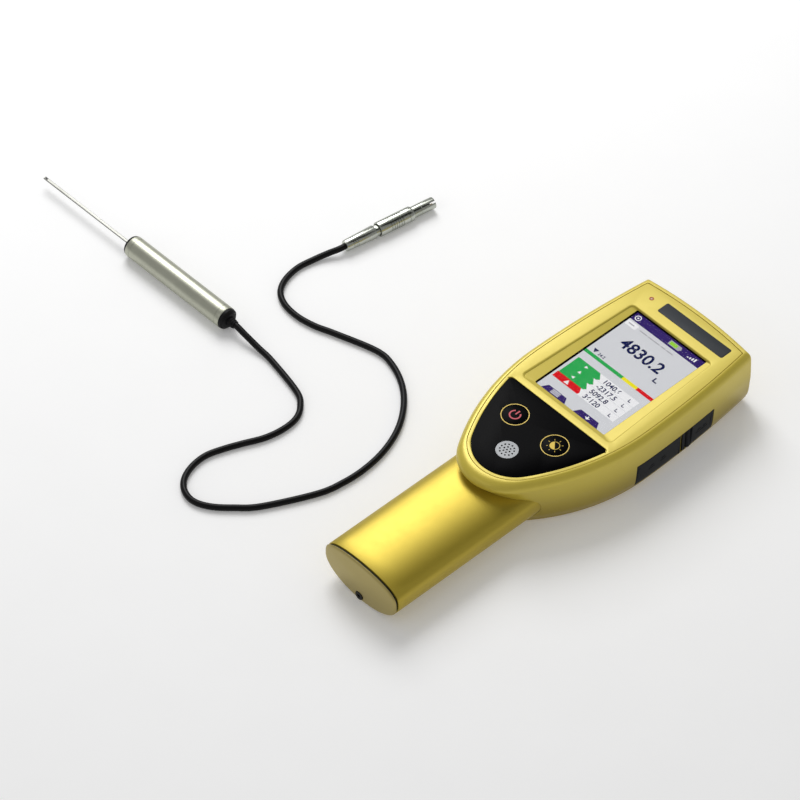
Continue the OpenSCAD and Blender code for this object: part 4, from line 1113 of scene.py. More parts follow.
    def keypad(self) -> None:
        """The gloss overlay, its keys' caps, rings and marks."""
        low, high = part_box("keypad_overlay")
        z0, z1 = low[2], high[2]
        soft = 0.18 * MM
        rings = [self.pad_ring(-soft, z0), self.pad_ring(0, z0 + soft), self.pad_ring(0, z1 - soft)]
        rings += [self.pad_ring(-soft * 0.3, z1 - soft * 0.3), self.pad_ring(-soft, z1)]
        overlay = loft("keypad_sheet", rings)
        holes = []
        centres = {}
        for key in ("power_key", "light_key"):
            a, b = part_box(key)
            centres[key] = ((a[0] + b[0]) / 2, (a[1] + b[1]) / 2)
            points = circle_points(*centres[key], 7.0 * MM, 64)
            holes.append(loft("key_hole", [[Vector((x, y, z)) for x, y in points]
                                           for z in (z0 - MM, z1 + MM)]))
        g0, g1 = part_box("buzzer_grille")
        gx, gy = (g0[0] + g1[0]) / 2, (g0[1] + g1[1]) / 2
        holes.append(loft("grille_seat", [[Vector((x, y, z)) for x, y in circle_points(gx, gy, 6 * MM, 64)]
                                          for z in (z0 + 0.3 * MM, z1 + MM)]))
        cut(overlay, *holes)
        show(overlay, Body.METER, self.paints.gloss, "gloss_black", "keypad_overlay")
        for key, body in (("power_key", Body.POWER_KEY), ("light_key", Body.LIGHT_KEY)):
            self.key_cap(key, body, centres[key])
        self.power_mark(centres["power_key"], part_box("power_key")[1][2])
        self.light_mark(centres["light_key"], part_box("light_key")[1][2])

    def key_cap(self, key: str, body: Body, at: tuple[float, float]) -> None:
        """One round key with a softened edge and its stem."""
        low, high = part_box(key)
        r = (high[0] - low[0]) / 2
        skirt = high[2] - 0.75 * MM
        edge = 0.15 * MM
        place = Matrix.Translation((at[0], at[1], 0)) @ Matrix.Rotation(-math.pi / 2, 4, "Y")
        profile = [(low[2], 0.0), (low[2], 2.2 * MM), (skirt, 2.2 * MM), (skirt, r),
                   (high[2] - edge, r), (high[2] - edge * 0.3, r - edge * 0.3), (high[2], r - edge),
                   (high[2], 0.0)]
        cap = lathe(f"{key}_cap", profile, place, 72)
        show(cap, body, self.paints.gloss, "gloss_black", key)

    def power_mark(self, at: tuple[float, float], z: float) -> None:
        """The power key's mark: a broken ring and a bar."""
        r0, r1 = 2.45 * MM, 3.25 * MM
        gap = math.radians(38)
        start, turn = math.pi / 2 + gap, 2 * math.pi - 2 * gap
        outer = circle_points(*at, r1, 40, start, turn * 1.025)
        inner = circle_points(*at, r0, 40, start, turn * 1.025)
        ring = flat_shape("ring", outer + inner[::-1], z, 0.03 * MM)
        bar = flat_shape("bar", rounded_rect(at[0], at[1] + 1.9 * MM, 0.8 * MM, 3.3 * MM, 0.3 * MM), z,
                         0.03 * MM)
        mark = join("power_mark", [ring, bar])
        show(mark, Body.POWER_KEY, self.paints.red_ink, "gloss_black")

    def light_mark(self, at: tuple[float, float], z: float) -> None:
        """The light key's mark: a half-filled disc in a ring of short rays."""
        lean = math.radians(135)
        r = 2.7 * MM
        half = circle_points(*at, r, 30, lean, math.pi * 1.02)
        parts = [flat_shape("half", half, z, 0.03 * MM)]
        outer = circle_points(*at, r, 30, lean - math.pi, math.pi * 1.03)
        inner = circle_points(*at, r - 0.3 * MM, 30, lean - math.pi, math.pi * 1.03)
        parts.append(flat_shape("arc", outer + inner[::-1], z, 0.03 * MM))
        for i in range(8):
            a = math.pi / 4 * i
            c = Vector((math.cos(a), math.sin(a)))
            side = Vector((-c.y, c.x)) * 0.13 * MM
            near, far = Vector(at) + c * 3.5 * MM, Vector(at) + c * 4.4 * MM
            corners = [near - side, far - side, far + side, near + side]
            parts.append(flat_shape("ray", [(p.x, p.y) for p in corners], z, 0.03 * MM))
        mark = join("light_mark", parts)
        show(mark, Body.LIGHT_KEY, self.paints.yellow_ink, "gloss_black")

    def trims(self) -> None:
        """The blank name plate and the status lamp."""
        low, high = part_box("name_plate")
        cx, cy = (low[0] + high[0]) / 2, (low[1] + high[1]) / 2
        w, h = high[0] - low[0], high[1] - low[1]
        rings = []
        for shrink, z in ((0.0, low[2]), (0.0, high[2] - 0.1 * MM), (0.04 * MM, high[2] - 0.03 * MM),
                          (0.12 * MM, high[2])):
            points = rounded_rect(cx, cy, w - 2 * shrink, h - 2 * shrink, MM - shrink)
            rings.append([Vector((x, y, z)) for x, y in points])
        show(loft("blank_plate", rings), Body.METER, self.paints.plate, "plate_slate", "name_plate")
        low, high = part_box("status_lamp")
        at = Matrix.Translation(((low[0] + high[0]) / 2, (low[1] + high[1]) / 2, 0))
        turn = at @ Matrix.Rotation(-math.pi / 2, 4, "Y")
        top = high[2]
        lens = [(low[2], 0.0), (low[2], 0.7 * MM), (top - 0.25 * MM, 0.7 * MM), (top - 0.08 * MM, 0.55 * MM),
                (top - 0.02 * MM, 0.3 * MM), (top, 0.0)]
        show(lathe("status_lens", lens, turn, 32), Body.METER, self.paints.lamp, "lamp_red", "status_lamp")
        ring = [(low[2] + MM, 0.75 * MM), (low[2] + MM, 1.25 * MM), (top - 0.1 * MM, 1.25 * MM),
                (top, 1.15 * MM), (top, 0.85 * MM), (top - 0.1 * MM, 0.75 * MM), (low[2] + MM, 0.75 * MM)]
        show(lathe("status_ring", ring, turn, 40), Body.METER, self.paints.lamp_ring, "lamp_red")

    def back(self) -> None:
        """The back cover's rounded rim, cut for the handle, its screws and its label."""
        s = self.shape
        low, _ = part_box("back_cover")
        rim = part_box("casing_seal")[0][2]
        knots = [Level(low[2], 5.3 * MM, 12 * MM, s.low_r), Level(1.2 * MM, 3.4 * MM, 10 * MM, s.low_r),
                 Level(rim, 2.4 * MM, 8.5 * MM, s.low_r)]
        cover = loft("back_shell", [s.level_ring(lv) for lv in blend_levels(knots, 8)])
        handle = HandleShape()
        tube = loft("handle_hole", [handle.ring(-0.15 * MM, y) for y in (-0.1, -0.0517)])
        slot = block("slot", (-15.6 * MM, -0.1, -MM), (15.6 * MM, -0.0517, 5 * MM))
        plate_low, plate_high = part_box("rating_plate")
        label = block("label_seat", (plate_low[0] - 0.2 * MM, plate_low[1] - 0.2 * MM, -MM),
                      (plate_high[0] + 0.2 * MM, plate_high[1] + 0.2 * MM, plate_high[2]))
        pockets = []
        screws_low, screws_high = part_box("casing_screws")
        x1, y1, y0 = screws_high[0] - 2.7 * MM, screws_high[1] - 2.7 * MM, screws_low[1] + 2.7 * MM
        for x, y in ((x1, y1), (-x1, y1), (27 * MM, y0), (-27 * MM, y0)):
            points = circle_points(x, y, 3 * MM, 40)
            pockets.append(loft("pocket", [[Vector((px, py, z)) for px, py in points]
                                           for z in (-MM, 1.7 * MM)]))
        cut(cover, tube, slot, label, *pockets)
        show(cover, Body.METER, self.paints.back, "shell_side", "back_cover")

    def build(self) -> None:
        """Builds every piece of the casing."""
        self.shell()
        self.back()
        self.panel()
        self.keypad()
        self.trims()


# ------------------------------------------------------------------ display


@dataclass
class Screen:
    """What the lit display shows, laid out in millimetres from its centre."""

    paints: Paints
    half_w: float = 24.5
    half_h: float = 36.7
    layer: float = 0.012 * MM

    def __post_init__(self) -> None:
        """Finds the display's centre and its lit plane."""
        low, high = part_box("display_window")
        self.cx = (low[0] + high[0]) / 2
        self.cy = (low[1] + high[1]) / 2
        self.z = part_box("lcd_panel")[1][2]

    def at(self, x: float, y: float) -> tuple[float, float]:
        """A layout point in metres."""
        return (self.cx + x * MM, self.cy + y * MM)

    def shape(self, name: str, corners: Sequence[tuple[float, float]], level: int) -> bpy.types.Object:
        """A flat printed shape on one of the display's layers."""
        return flat_shape(name, [self.at(x, y) for x, y in corners], self.z + level * self.layer, self.layer * 0.6)

    def bar(self, name: str, x0: float, x1: float, y0: float, y1: float, level: int) -> bpy.types.Object:
        """A flat rectangle."""
        return self.shape(name, [(x0, y0), (x1, y0), (x1, y1), (x0, y1)], level)

    def digits(self, name: str, text: str, x: float, y: float, height: float, level: int
               ) -> bpy.types.Object:
        """Plain numerals, left-aligned, with their lower edge at y.

        Args:
            name: The piece's name.
            text: Numerals, a point or a sign.
            x: Left end, in layout millimetres.
            y: Lower edge.
            height: Height of a numeral.
            level: The display's layer.

        Returns:
            The numerals as one mesh.
        """
        curve = bpy.data.curves.new(name, "FONT")
        curve.body = text
        curve.size = height * MM / 0.69
        curve.offset = height * MM * 0.034
        curve.space_character = 1.02
        holder = bpy.data.objects.new(name, curve)
        bpy.context.scene.collection.objects.link(holder)
        mesh = bpy.data.meshes.new_from_object(holder)
        bpy.data.objects.remove(holder, do_unlink=True)
        px, py = self.at(x, y)
        mesh.transform(Matrix.Translation((px, py, self.z + level * self.layer)))
        obj = bpy.data.objects.new(name, mesh)
        bpy.context.scene.collection.objects.link(obj)
        return obj

    def show_on(self, obj: bpy.types.Object, ink: bpy.types.Material) -> None:
        """Dresses a display shape."""
        show(obj, Body.METER, ink, "lcd")

    def header(self) -> None:
        """The band with a plain ring mark, a charge symbol and level bars."""
        p = self.paints
        self.show_on(self.bar("screen_band", -self.half_w, self.half_w, 31.0, self.half_h, 1), p.indigo)
        ring = [circle_points(-21.4, 33.9, r, 32, 0, 2 * math.pi * 1.03) for r in (1.9, 1.35)]
        parts = [self.shape("ring", ring[0] + ring[1][::-1], 2),
                 self.shape("dot", circle_points(-21.4, 33.9, 0.55, 20), 2)]
        parts += [self.bar("step", 15.0 + 1.5 * i, 15.9 + 1.5 * i, 32.7, 33.4 + 0.6 * i, 2) for i in range(4)]
        self.show_on(join("screen_marks", parts), p.snow)
        case = [self.bar("case", 1.4, 9.2, 32.3, 35.5, 2), self.bar("cap", 9.2, 9.9, 33.2, 34.6, 2)]
        self.show_on(join("screen_battery", case), p.rule)
        self.show_on(self.bar("screen_charge", 2.0, 7.0, 32.8, 35.0, 3), p.lime)
        self.show_on(self.shape("screen_tag", rounded_rect(-20.4, 28.2, 7.4, 3.6, 0.7), 1), p.snow)
        lines = [self.bar("line", x, x + w, 27.9, 28.6, 2)
                 for x, w in ((-22.6, 3.8), (-14.6, 5.2), (-8.6, 8.4), (0.8, 3.0), (4.6, 4.6))]
        self.show_on(join("screen_lines", lines), p.rule)

    def reading(self) -> None:
        """The main reading, the pointer and the three-colour scale."""
        p = self.paints
        self.show_on(self.digits("screen_reading", "4830.2", -15.4, 12.9, 7.2, 2), p.navy)
        unit = [(14.6, 7.4), (17.6, 7.4), (17.6, 8.2), (15.5, 8.2), (15.5, 10.6), (14.6, 10.6)]
        self.show_on(self.shape("screen_unit", unit, 2), p.navy)
        self.show_on(self.shape("screen_pointer", [(-20.2, 0.0), (-18.5, 2.7), (-21.9, 2.7)], 2), p.navy)
        self.show_on(self.digits("screen_share", "24.2", -17.6, 0.2, 1.8, 2), p.navy)
        self.show_on(self.bar("scale_green", -self.half_w, 2.9, -3.0, -0.8, 2), p.green)
        self.show_on(self.bar("scale_yellow", 2.9, 13.3, -3.0, -0.8, 2), p.amber)
        self.show_on(self.bar("scale_red", 13.3, self.half_w, -3.0, -0.8, 2), p.scarlet)

    def rows(self) -> None:
        """The block of axes, the warning row and their values."""
        p = self.paints
        top, step = -8.0, 4.85
        edge = []
        for i in range(3):
            y = top - step * i
            edge += [(-7.0, y), (-3.9, y - step * 0.72), (-3.9 - 1.6, y - step)]
        block_shape = [(-22.8, top - 3 * step), (-22.8, top)] + edge
        self.show_on(self.shape("axis_block", block_shape[::-1], 2), p.green)
        arrows = []
        for i in range(3):
            y = top - step * (i + 0.5)
            a = math.radians(90 * i)
            points = [(1.2, 0.0), (-0.8, 1.0), (-0.8, -1.0)]
            turned = [(-14.8 + u * math.cos(a) - v * math.sin(a), y + u * math.sin(a) + v * math.cos(a))
                      for u, v in points]
            arrows.append(self.shape("arrow", turned, 3))
        self.show_on(join("axis_arrows", arrows), p.snow)
        bars = []
        for i in range(4):
            y = top - step * i
            bars.append(self.shape("row", [(-5.4, y - step + 0.25), (21.3, y - step + 0.25), (21.3, y),
                                           (-6.6, y)], 1))
        self.show_on(join("value_rows", bars), p.snow)
        values = ("1040.6", "-2317.5", "5092.8", "36120")
        for i, text in enumerate(values):
            self.show_on(self.digits(f"value_{i}", text, -2.0, top - step * i - 3.9, 3.0, 2), p.navy)
        units = []
        for i in range(4):
            y = top - step * i - 3.7
            units.append(self.shape("unit", [(16.2, y), (18.0, y), (18.0, y + 0.5), (16.7, y + 0.5),
                                             (16.7, y + 2.2), (16.2, y + 2.2)], 2))
        self.show_on(join("value_units", units), p.navy)
        y = top - 3 * step
        warn = [(-23.2, y - 4.4), (-5.0, y - 4.4), (-4.6, y - 3.0), (-6.4, y), (-23.2, y)]
        self.show_on(self.shape("warning_row", warn, 2), p.scarlet)
        self.show_on(self.shape("warning_sign", [(-16.0, y - 3.5), (-12.8, y - 3.5), (-14.4, y - 0.7)], 3),
                     p.snow)

    def tabs(self) -> None:
        """Two soft-key tabs with plain symbols."""
        p = self.paints
        base = -self.half_h
        left = [(-21.4, base), (-4.2, base), (-6.4, base + 3.8), (-19.2, base + 3.8)]
        right = [(2.0, base), (19.2, base), (17.0, base + 3.8), (4.2, base + 3.8)]
        self.show_on(join("tabs", [self.shape("tab", left, 1), self.shape("tab", right, 1)]), p.indigo)
        marks = [self.bar("rule", -15.6, -10.0, base + 0.8 + 1.0 * i, base + 1.3 + 1.0 * i, 2) for i in range(3)]
        marks.append(self.shape("arrow", [(10.6, base + 0.7), (12.4, base + 2.1), (8.8, base + 2.1)], 2))
        marks.append(self.bar("shaft", 10.2, 11.0, base + 2.1, base + 3.2, 2))
        self.show_on(join("tab_marks", marks), p.snow)

    def build(self) -> None:
        """Lights the display and draws on it."""
        self.show_on(self.bar("screen_ground", -self.half_w, self.half_w, -self.half_h, self.half_h, 0),
                     self.paints.paper)
        self.header()
        self.reading()
        self.rows()
        self.tabs()


# ------------------------------------------------------------------ handle


@dataclass
class HandleShape:
    """Oval section of the handle, in metres."""

    half_w: float = 26 * MM
    height: float = 27 * MM
    low_share: float = 0.537
    crown_power: float = 0.566
    count: int = 144

    def ring(self, inset: float, y: float) -> list[Vector]:
        """Points round the section at one place along Y."""
        mid = self.height * self.low_share
        low, high = mid - inset, self.height - mid - inset
        points = []
        for i in range(self.count):
            a = 2 * math.pi * i / self.count
            s = math.sin(a)
            z = mid + (high * s ** self.crown_power if s > 0 else low * s)
            points.append(Vector(((self.half_w - inset) * math.cos(a), y, z)))
        return points


@dataclass
class Handle:
    """The tube, its end cap and the cap's seal."""

    paints: Paints
    shape: HandleShape = field(default_factory=HandleShape)
    wall: float = 2 * MM

    def tube(self) -> None:
        """The metallic tube, open at its end."""
        low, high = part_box("handle_tube")
        y0, y1 = low[1], high[1]
        s = self.shape
        edge = 0.3 * MM
        rings = [s.ring(edge, y0), s.ring(edge * 0.3, y0 + edge * 0.3), s.ring(0, y0 + edge)]
        rings += [s.ring(0, y0 + edge + (y1 - y0 - edge) * i / 12) for i in range(1, 13)]
        rings += [s.ring(self.wall, y1 - 0.05 * MM), s.ring(self.wall, y0 + 0.05 * MM)]
        kit = MeshKit()
        loops = [kit.ring(r) for r in rings]
        for a, b in zip(loops, loops[1:] + loops[:1]):
            kit.bridge(a, b)
        show(kit.done("handle_sleeve"), Body.METER, self.paints.handle, "handle_gold", "handle_tube")

    def cap(self) -> None:
        """The gently domed end cap with its screw recess."""
        low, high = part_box("end_cap")
        y0, y1 = low[1], high[1]
        s = self.shape
        depth = y1 - y0
        rings = [s.ring(0.1 * MM, y1), s.ring(0.0, y1 - 0.15 * MM)]
        for i in range(1, 9):
            a = math.pi / 2 * i / 8
            rings.append(s.ring(2.2 * MM * (1 - math.cos(a)), y1 - 0.15 * MM - 0.55 * depth * math.sin(a)))
        base = rings[-1]
        centre = Vector((0, 0, sum(p.z for p in base) / len(base)))
        for i in range(1, 9):
            share = i / 9
            y = base[0].y - 0.38 * depth * math.sin(math.pi / 2 * share)
            rings.append([Vector((p.x * (1 - share), y, centre.z + (p.z - centre.z) * (1 - share)))
                          for p in base])
        cap = loft("end_cap_shell", rings)
        screw_low, screw_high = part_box("end_cap_screw")
        z = (screw_low[2] + screw_high[2]) / 2
        hole = lathe("hole", [(y0 - MM, 0.0), (y0 - MM, 2.75 * MM), (screw_low[1] + 1.2 * MM, 2.75 * MM),
                              (screw_low[1] + 1.2 * MM, 1.35 * MM), (y1 + MM, 1.35 * MM), (y1 + MM, 0.0)],
                     Matrix.Translation((0, 0, z)) @ Matrix.Rotation(math.pi / 2, 4, "Z"))
        cut(cap, hole)
        show(cap, Body.DRAWER, self.paints.cap, "cap_yellow", "end_cap")

    def build(self) -> None:
        """Builds the handle's visible pieces."""
        self.tube()
        self.cap()


# ------------------------------------------------------------------ side covers


@dataclass
class SideCovers:
    """Two rubber port covers with softened edges, finger lips and plain raised marks."""

    paints: Paints
    casing: Casing
    thick: float = 2.1 * MM
    knuckle_r: float = 1.5 * MM
    bore_r: float = 0.88 * MM
    levels: list[Level] = field(default_factory=list)

    def __post_init__(self) -> None:
        """Keeps the wall's levels, which every point of a cover is placed by."""
        self.levels = self.casing.side_levels()

    def wall_x(self, y: float, z: float, inset: float) -> float:
        """Where the casing's wall stands at a place on its right side."""
        s = self.casing.shape
        near = min(self.levels, key=lambda lv: abs(lv.z - z))
        r = (near.side if y < 0 else s.upper_r)
        return math.sqrt((r - near.inset - inset) ** 2 - y * y) - (r - s.half_w)

    def plate(self, name: str, y0: float, y1: float) -> bpy.types.Object:
        """A curved plate that follows the wall, as a grid that is given its thickness."""
        low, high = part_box(name)
        z0, z1 = low[2], high[2]
        kit = MeshKit()
        bmesh.ops.create_grid(kit.bm, x_segments=24, y_segments=14, size=0.5)
        for v in kit.bm.verts:
            y = y0 + (v.co.x + 0.5) * (y1 - y0)
            z = z0 + (v.co.y + 0.5) * (z1 - z0)
            v.co = Vector((self.wall_x(y, z, 0.02 * MM), y, z))
        geom = bmesh.ops.extrude_face_region(kit.bm, geom=kit.bm.faces[:])["geom"]
        for v in (g for g in geom if isinstance(g, bmesh.types.BMVert)):
            v.co.x = self.wall_x(v.co.y, 20 * MM, self.thick)
        plate = kit.done(f"{name}_plate")
        return plate

    def cover(self, name: str, body: Body, hinge_y: float, outward: int) -> None:
        """One cover with its hinge knuckle, lip and marks.

        Args:
            name: The design's node.
            body: The body that it rides on.
            hinge_y: The hinge's place along Y.
            outward: +1 where the cover lies above its hinge, -1 where it lies below it.
        """
        low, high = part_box(name)
        near = hinge_y + outward * 1.3 * MM
        far = high[1] if outward > 0 else low[1]
        y0, y1 = min(near, far), max(near, far)
        plate = self.plate(name, y0, y1)
        mod = plate.modifiers.new("soft_edge", "BEVEL")
        mod.width = 0.35 * MM
        mod.segments = 3
        mod.limit_method = "ANGLE"
        mod.angle_limit = math.radians(50)
        hinge_x = 40.9 * MM
        place = Matrix.Translation((hinge_x, hinge_y, 0)) @ Matrix.Rotation(-math.pi / 2, 4, "Y")
        profile = [(low[2], self.bore_r), (low[2], self.knuckle_r - 0.2 * MM),
                   (low[2] + 0.2 * MM, self.knuckle_r), (high[2] - 0.2 * MM, self.knuckle_r),
                   (high[2], self.knuckle_r - 0.2 * MM), (high[2], self.bore_r), (low[2], self.bore_r)]
        knuckle = lathe(f"{name}_knuckle", profile, place, 32)
        web = block(f"{name}_web", (hinge_x + 0.3 * MM, min(hinge_y + outward * 0.9 * MM, near + outward * 0.6 * MM),
                                    low[2] + 0.1 * MM),
                    (hinge_x + 1.3 * MM, max(hinge_y + outward * 0.9 * MM, near + outward * 0.6 * MM),
                     high[2] - 0.1 * MM), 0.15 * MM)
        show(plate, body, self.paints.rubber, "cover_rubber", name)
        show(knuckle, body, self.paints.rubber, "cover_rubber")
        show(web, body, self.paints.rubber, "cover_rubber")
        self.marks(name, body, y0, y1, outward)

    def raised(self, name: str, body: Body, y0: float, y1: float, z0: float, z1: float) -> None:
        """A low raised bar on a cover's face."""
        kit = MeshKit()
        bmesh.ops.create_grid(kit.bm, x_segments=8, y_segments=3, size=0.5)
        for v in kit.bm.verts:
            y = y0 + (v.co.x + 0.5) * (y1 - y0)
            z = z0 + (v.co.y + 0.5) * (z1 - z0)
            v.co = Vector((self.wall_x(y, z, -0.16 * MM), y, z))
        geom = bmesh.ops.extrude_face_region(kit.bm, geom=kit.bm.faces[:])["geom"]
        for v in (g for g in geom if isinstance(g, bmesh.types.BMVert)):
            v.co.x -= 0.5 * MM
        bar = kit.done(name)
        mod = bar.modifiers.new("soft_edge", "BEVEL")
        mod.width = 0.1 * MM
        mod.segments = 2
        show(bar, body, self.paints.rubber, "cover_rubber")

    def marks(self, name: str, body: Body, y0: float, y1: float, outward: int) -> None:
        """A finger lip at the free end and plain raised bars."""
        span = y1 - y0
        lip = y1 - 2.0 * MM if outward > 0 else y0 + 0.6 * MM
        self.raised(f"{name}_lip", body, lip, lip + 1.4 * MM, 7 * MM, 17.5 * MM)
        for i, share in enumerate((0.35, 0.62)):
            y = y0 + span * share
            self.raised(f"{name}_mark_{i}", body, y - 2.2 * MM, y + 2.2 * MM, 11.4 * MM, 12.2 * MM)
            self.raised(f"{name}_mark_low_{i}", body, y - 1.2 * MM, y + 1.2 * MM, 13.0 * MM, 13.8 * MM)

    def build(self) -> None:
        """Builds both covers."""
        joints = {j["name"]: j for j in frame["joints"]}
        rear = joints["rear_cover_swing"]["pos_m"][1]
        front = joints["front_cover_swing"]["pos_m"][1]
        self.cover("port_cover_rear", Body.REAR_COVER, rear, -1)
        self.cover("port_cover_front", Body.FRONT_COVER, front, 1)


# ------------------------------------------------------------------ probe, lead and plug


@dataclass
class Lead:
    """The probe's free lead, end to end."""

    paints: Paints
    diameter: float = 3.5 * MM
    steps: int = 8

    def route(self) -> list[Vector]:
        """The middle of the lead, from inside the probe to inside the plug."""
        r = self.diameter / 2 / MM
        points = [
            (-183.4, -84.61, 6.25), (-179, -84.5, 6.2), (-172.5, -84.6, 5), (-162, -84.5, 2.8),
            (-151, -84.9, r), (-126, -90, r), (-117, -95.5, r), (-112, -103, r),
            (-111, -113, r), (-113, -124, r), (-118, -135.5, r), (-122, -145.5, r), (-124.5, -155, r),
            (-123.5, -165, r), (-119.5, -173.5, r), (-113, -178.5, r), (-105, -179.5, r),
            (-96.5, -175.5, r), (-88, -167.5, r), (-79, -156.5, r), (-66, -130, r),
            (-62.5, -115, r), (-62, -100, r), (-64.5, -84.5, r), (-70.5, -69.5, r), (-80, -56.5, r),
            (-92, -46.5, r), (-106, -40.5, r), (-119, -39.7, r), (-143, -47.3, r),
            (-154.5, -51.5, r), (-166, -53.5, r), (-177, -52.5, r), (-185.5, -48, r), (-190.5, -40, r),
            (-192.5, -29.5, r), (-191.2, -19.5, 1.9), (-188.6, -11, 3), (-186.01, -5.16, 4.2),
            (-185.08, 1.47, 4.3)]
        return [Vector(p) * MM for p in points]

    def smooth(self) -> list[Vector]:
        """The route as an even curve through its points."""
        pts = self.route()
        out = []
        for i in range(len(pts) - 1):
            p0, p1, p2, p3 = pts[max(i - 1, 0)], pts[i], pts[i + 1], pts[min(i + 2, len(pts) - 1)]
            for k in range(self.steps):
                t = k / self.steps
                out.append(0.5 * (2 * p1 + (p2 - p0) * t + (2 * p0 - 5 * p1 + 4 * p2 - p3) * t * t
                                  + (3 * p1 - p0 - 3 * p2 + p3) * t ** 3))
        return out + [pts[-1]]

    def build(self, pieces: Sequence[bpy.types.Object | str]) -> None:
        """Args:
            pieces: What lies on its far end; not used.
        """
        points = self.smooth()
        curve = bpy.data.curves.new("probe_lead", "CURVE")
        curve.dimensions = "3D"
        spline = curve.splines.new("POLY")
        spline.points.add(len(points) - 1)
        for slot, p in zip(spline.points, points):
            slot.co = (*p, 1.0)
        curve.bevel_depth = self.diameter / 2
        curve.bevel_resolution = 6
        curve.use_fill_caps = True
        lead = bpy.data.objects.new("probe_lead", curve)
        bpy.context.scene.collection.objects.link(lead)
        show(lead, Body.PROBE, self.paints.jacket, "cord", "probe_cable")


@dataclass
class Plug:
    """The push-pull plug, built along +X from its tail and then laid in place."""

    paints: Paints
    tail: tuple[float, float] = (-185.5 * MM, -1.5 * MM)
    turn: float = 82.0
    sleeve_r: float = 4.3 * MM
    nose_r: float = 3.4 * MM
    nut_l: float = 19 * MM
    sleeve_x: float = 21.5 * MM
    sleeve_l: float = 22 * MM
    nose_l: float = 14.5 * MM

    def place(self) -> Matrix:
        """Where the plug lies."""
        return (Matrix.Translation((*self.tail, self.sleeve_r))
                @ Matrix.Rotation(math.radians(self.turn), 4, "Z"))

    def clamp_nut(self) -> bpy.types.Object:
        """The tapered nut with a ring of fine grooves."""
        core = self.sleeve_r - 0.65 * MM
        r0, r1, bore = core - 0.4 * MM, core + 0.25 * MM, 1.8 * MM
        profile = [(0.0, bore), (0.0, r0 - 0.5 * MM), (0.15 * MM, r0 - 0.15 * MM), (0.6 * MM, r0)]
        for i in range(3):
            x = (4.0 + 1.3 * i) * MM
            r = r0 + (r1 - r0) * x / self.nut_l
            profile += [(x, r), (x + 0.15 * MM, r - 0.22 * MM), (x + 0.5 * MM, r - 0.22 * MM),
                        (x + 0.65 * MM, r)]
        end = self.nut_l
        profile += [(end - 0.35 * MM, r1), (end - 0.1 * MM, r1 - 0.12 * MM), (end, r1 - 0.4 * MM), (end, bore),
                    (0.0, bore)]
        nut = lathe("clamp_nut", profile, self.place())
        return show(nut, Body.PROBE, self.paints.plug, "plug_metal", "plug_clamp_nut")

    def body(self) -> bpy.types.Object:
        """The core with its spanner flats and the keyed front shell."""
        core = self.sleeve_r - 0.65 * MM
        x1 = self.sleeve_x + self.sleeve_l
        x2 = x1 + self.nose_l
        wall = 0.6 * MM
        profile = [(self.nut_l, 0.0), (self.nut_l, core - 0.6 * MM), (self.nut_l + 0.2 * MM, core - 0.4 * MM),
                   (self.sleeve_x + 1.2 * MM, core - 0.4 * MM), (self.sleeve_x + 1.2 * MM, core - 0.1 * MM),
                   (x1 + 0.2 * MM, core - 0.1 * MM), (x1 + 0.35 * MM, self.nose_r),
                   (x1 + 5.0 * MM, self.nose_r), (x1 + 5.15 * MM, self.nose_r - 0.12 * MM),
                   (x1 + 5.6 * MM, self.nose_r - 0.12 * MM), (x1 + 5.75 * MM, self.nose_r),
                   (x2 - 0.35 * MM, self.nose_r), (x2 - 0.1 * MM, self.nose_r - 0.1 * MM),
                   (x2, self.nose_r - 0.3 * MM), (x2, self.nose_r - wall), (x2 - 9 * MM, self.nose_r - wall),
                   (x2 - 9 * MM, 0.0)]
        body = lathe("plug_core", profile, self.place())
        cutters = []
        flat = core - 0.8 * MM
        for side in (-1, 1):
            low = (self.nut_l + 0.6 * MM, -5 * MM, flat if side > 0 else -6 * MM)
            high = (self.sleeve_x - 0.1 * MM, 5 * MM, 6 * MM if side > 0 else -flat)
            cutters.append(block("flat", low, high))
        for angle in (40, 220):
            key = block("key", (x2 - 3.6 * MM, -0.5 * MM, 2.2 * MM), (x2 + MM, 0.5 * MM, 4.2 * MM))
            key.data.transform(Matrix.Rotation(math.radians(angle), 4, "X"))
            cutters.append(key)
        for cutter in cutters:
            cutter.data.transform(self.place())
        cut(body, *cutters)
        return show(body, Body.PROBE, self.paints.plug, "plug_metal", "plug_body")

    def sleeve(self) -> bpy.types.Object:
        """The sliding sleeve with its gripping rings."""
        x0, x1, r = self.sleeve_x, self.sleeve_x + self.sleeve_l, self.sleeve_r
        bore = r - 0.65 * MM
        profile = [(x0, bore), (x0, r - 0.35 * MM), (x0 + 0.12 * MM, r - 0.1 * MM), (x0 + 0.4 * MM, r)]
        for i in range(6):
            x = x0 + (6.6 + 1.5 * i) * MM
            profile += [(x, r), (x + 0.18 * MM, r - 0.3 * MM), (x + 0.62 * MM, r - 0.3 * MM),
                        (x + 0.8 * MM, r)]
        joint = x1 - 3.2 * MM
        profile += [(joint, r), (joint + 0.1 * MM, r - 0.2 * MM), (joint + 0.3 * MM, r - 0.2 * MM),
                    (joint + 0.4 * MM, r), (x1 - 0.5 * MM, r), (x1 - 0.12 * MM, r - 0.15 * MM),
                    (x1, r - 0.45 * MM), (x1, bore), (x0, bore)]
        sleeve = lathe("pull_sleeve", profile, self.place(), 72)
        return show(sleeve, Body.SLEEVE, self.paints.plug, "plug_metal", "plug_sleeve")

    def build(self) -> list[bpy.types.Object]:
        """Builds the plug and returns its new pieces."""
        return [self.clamp_nut(), self.body(), self.sleeve()]


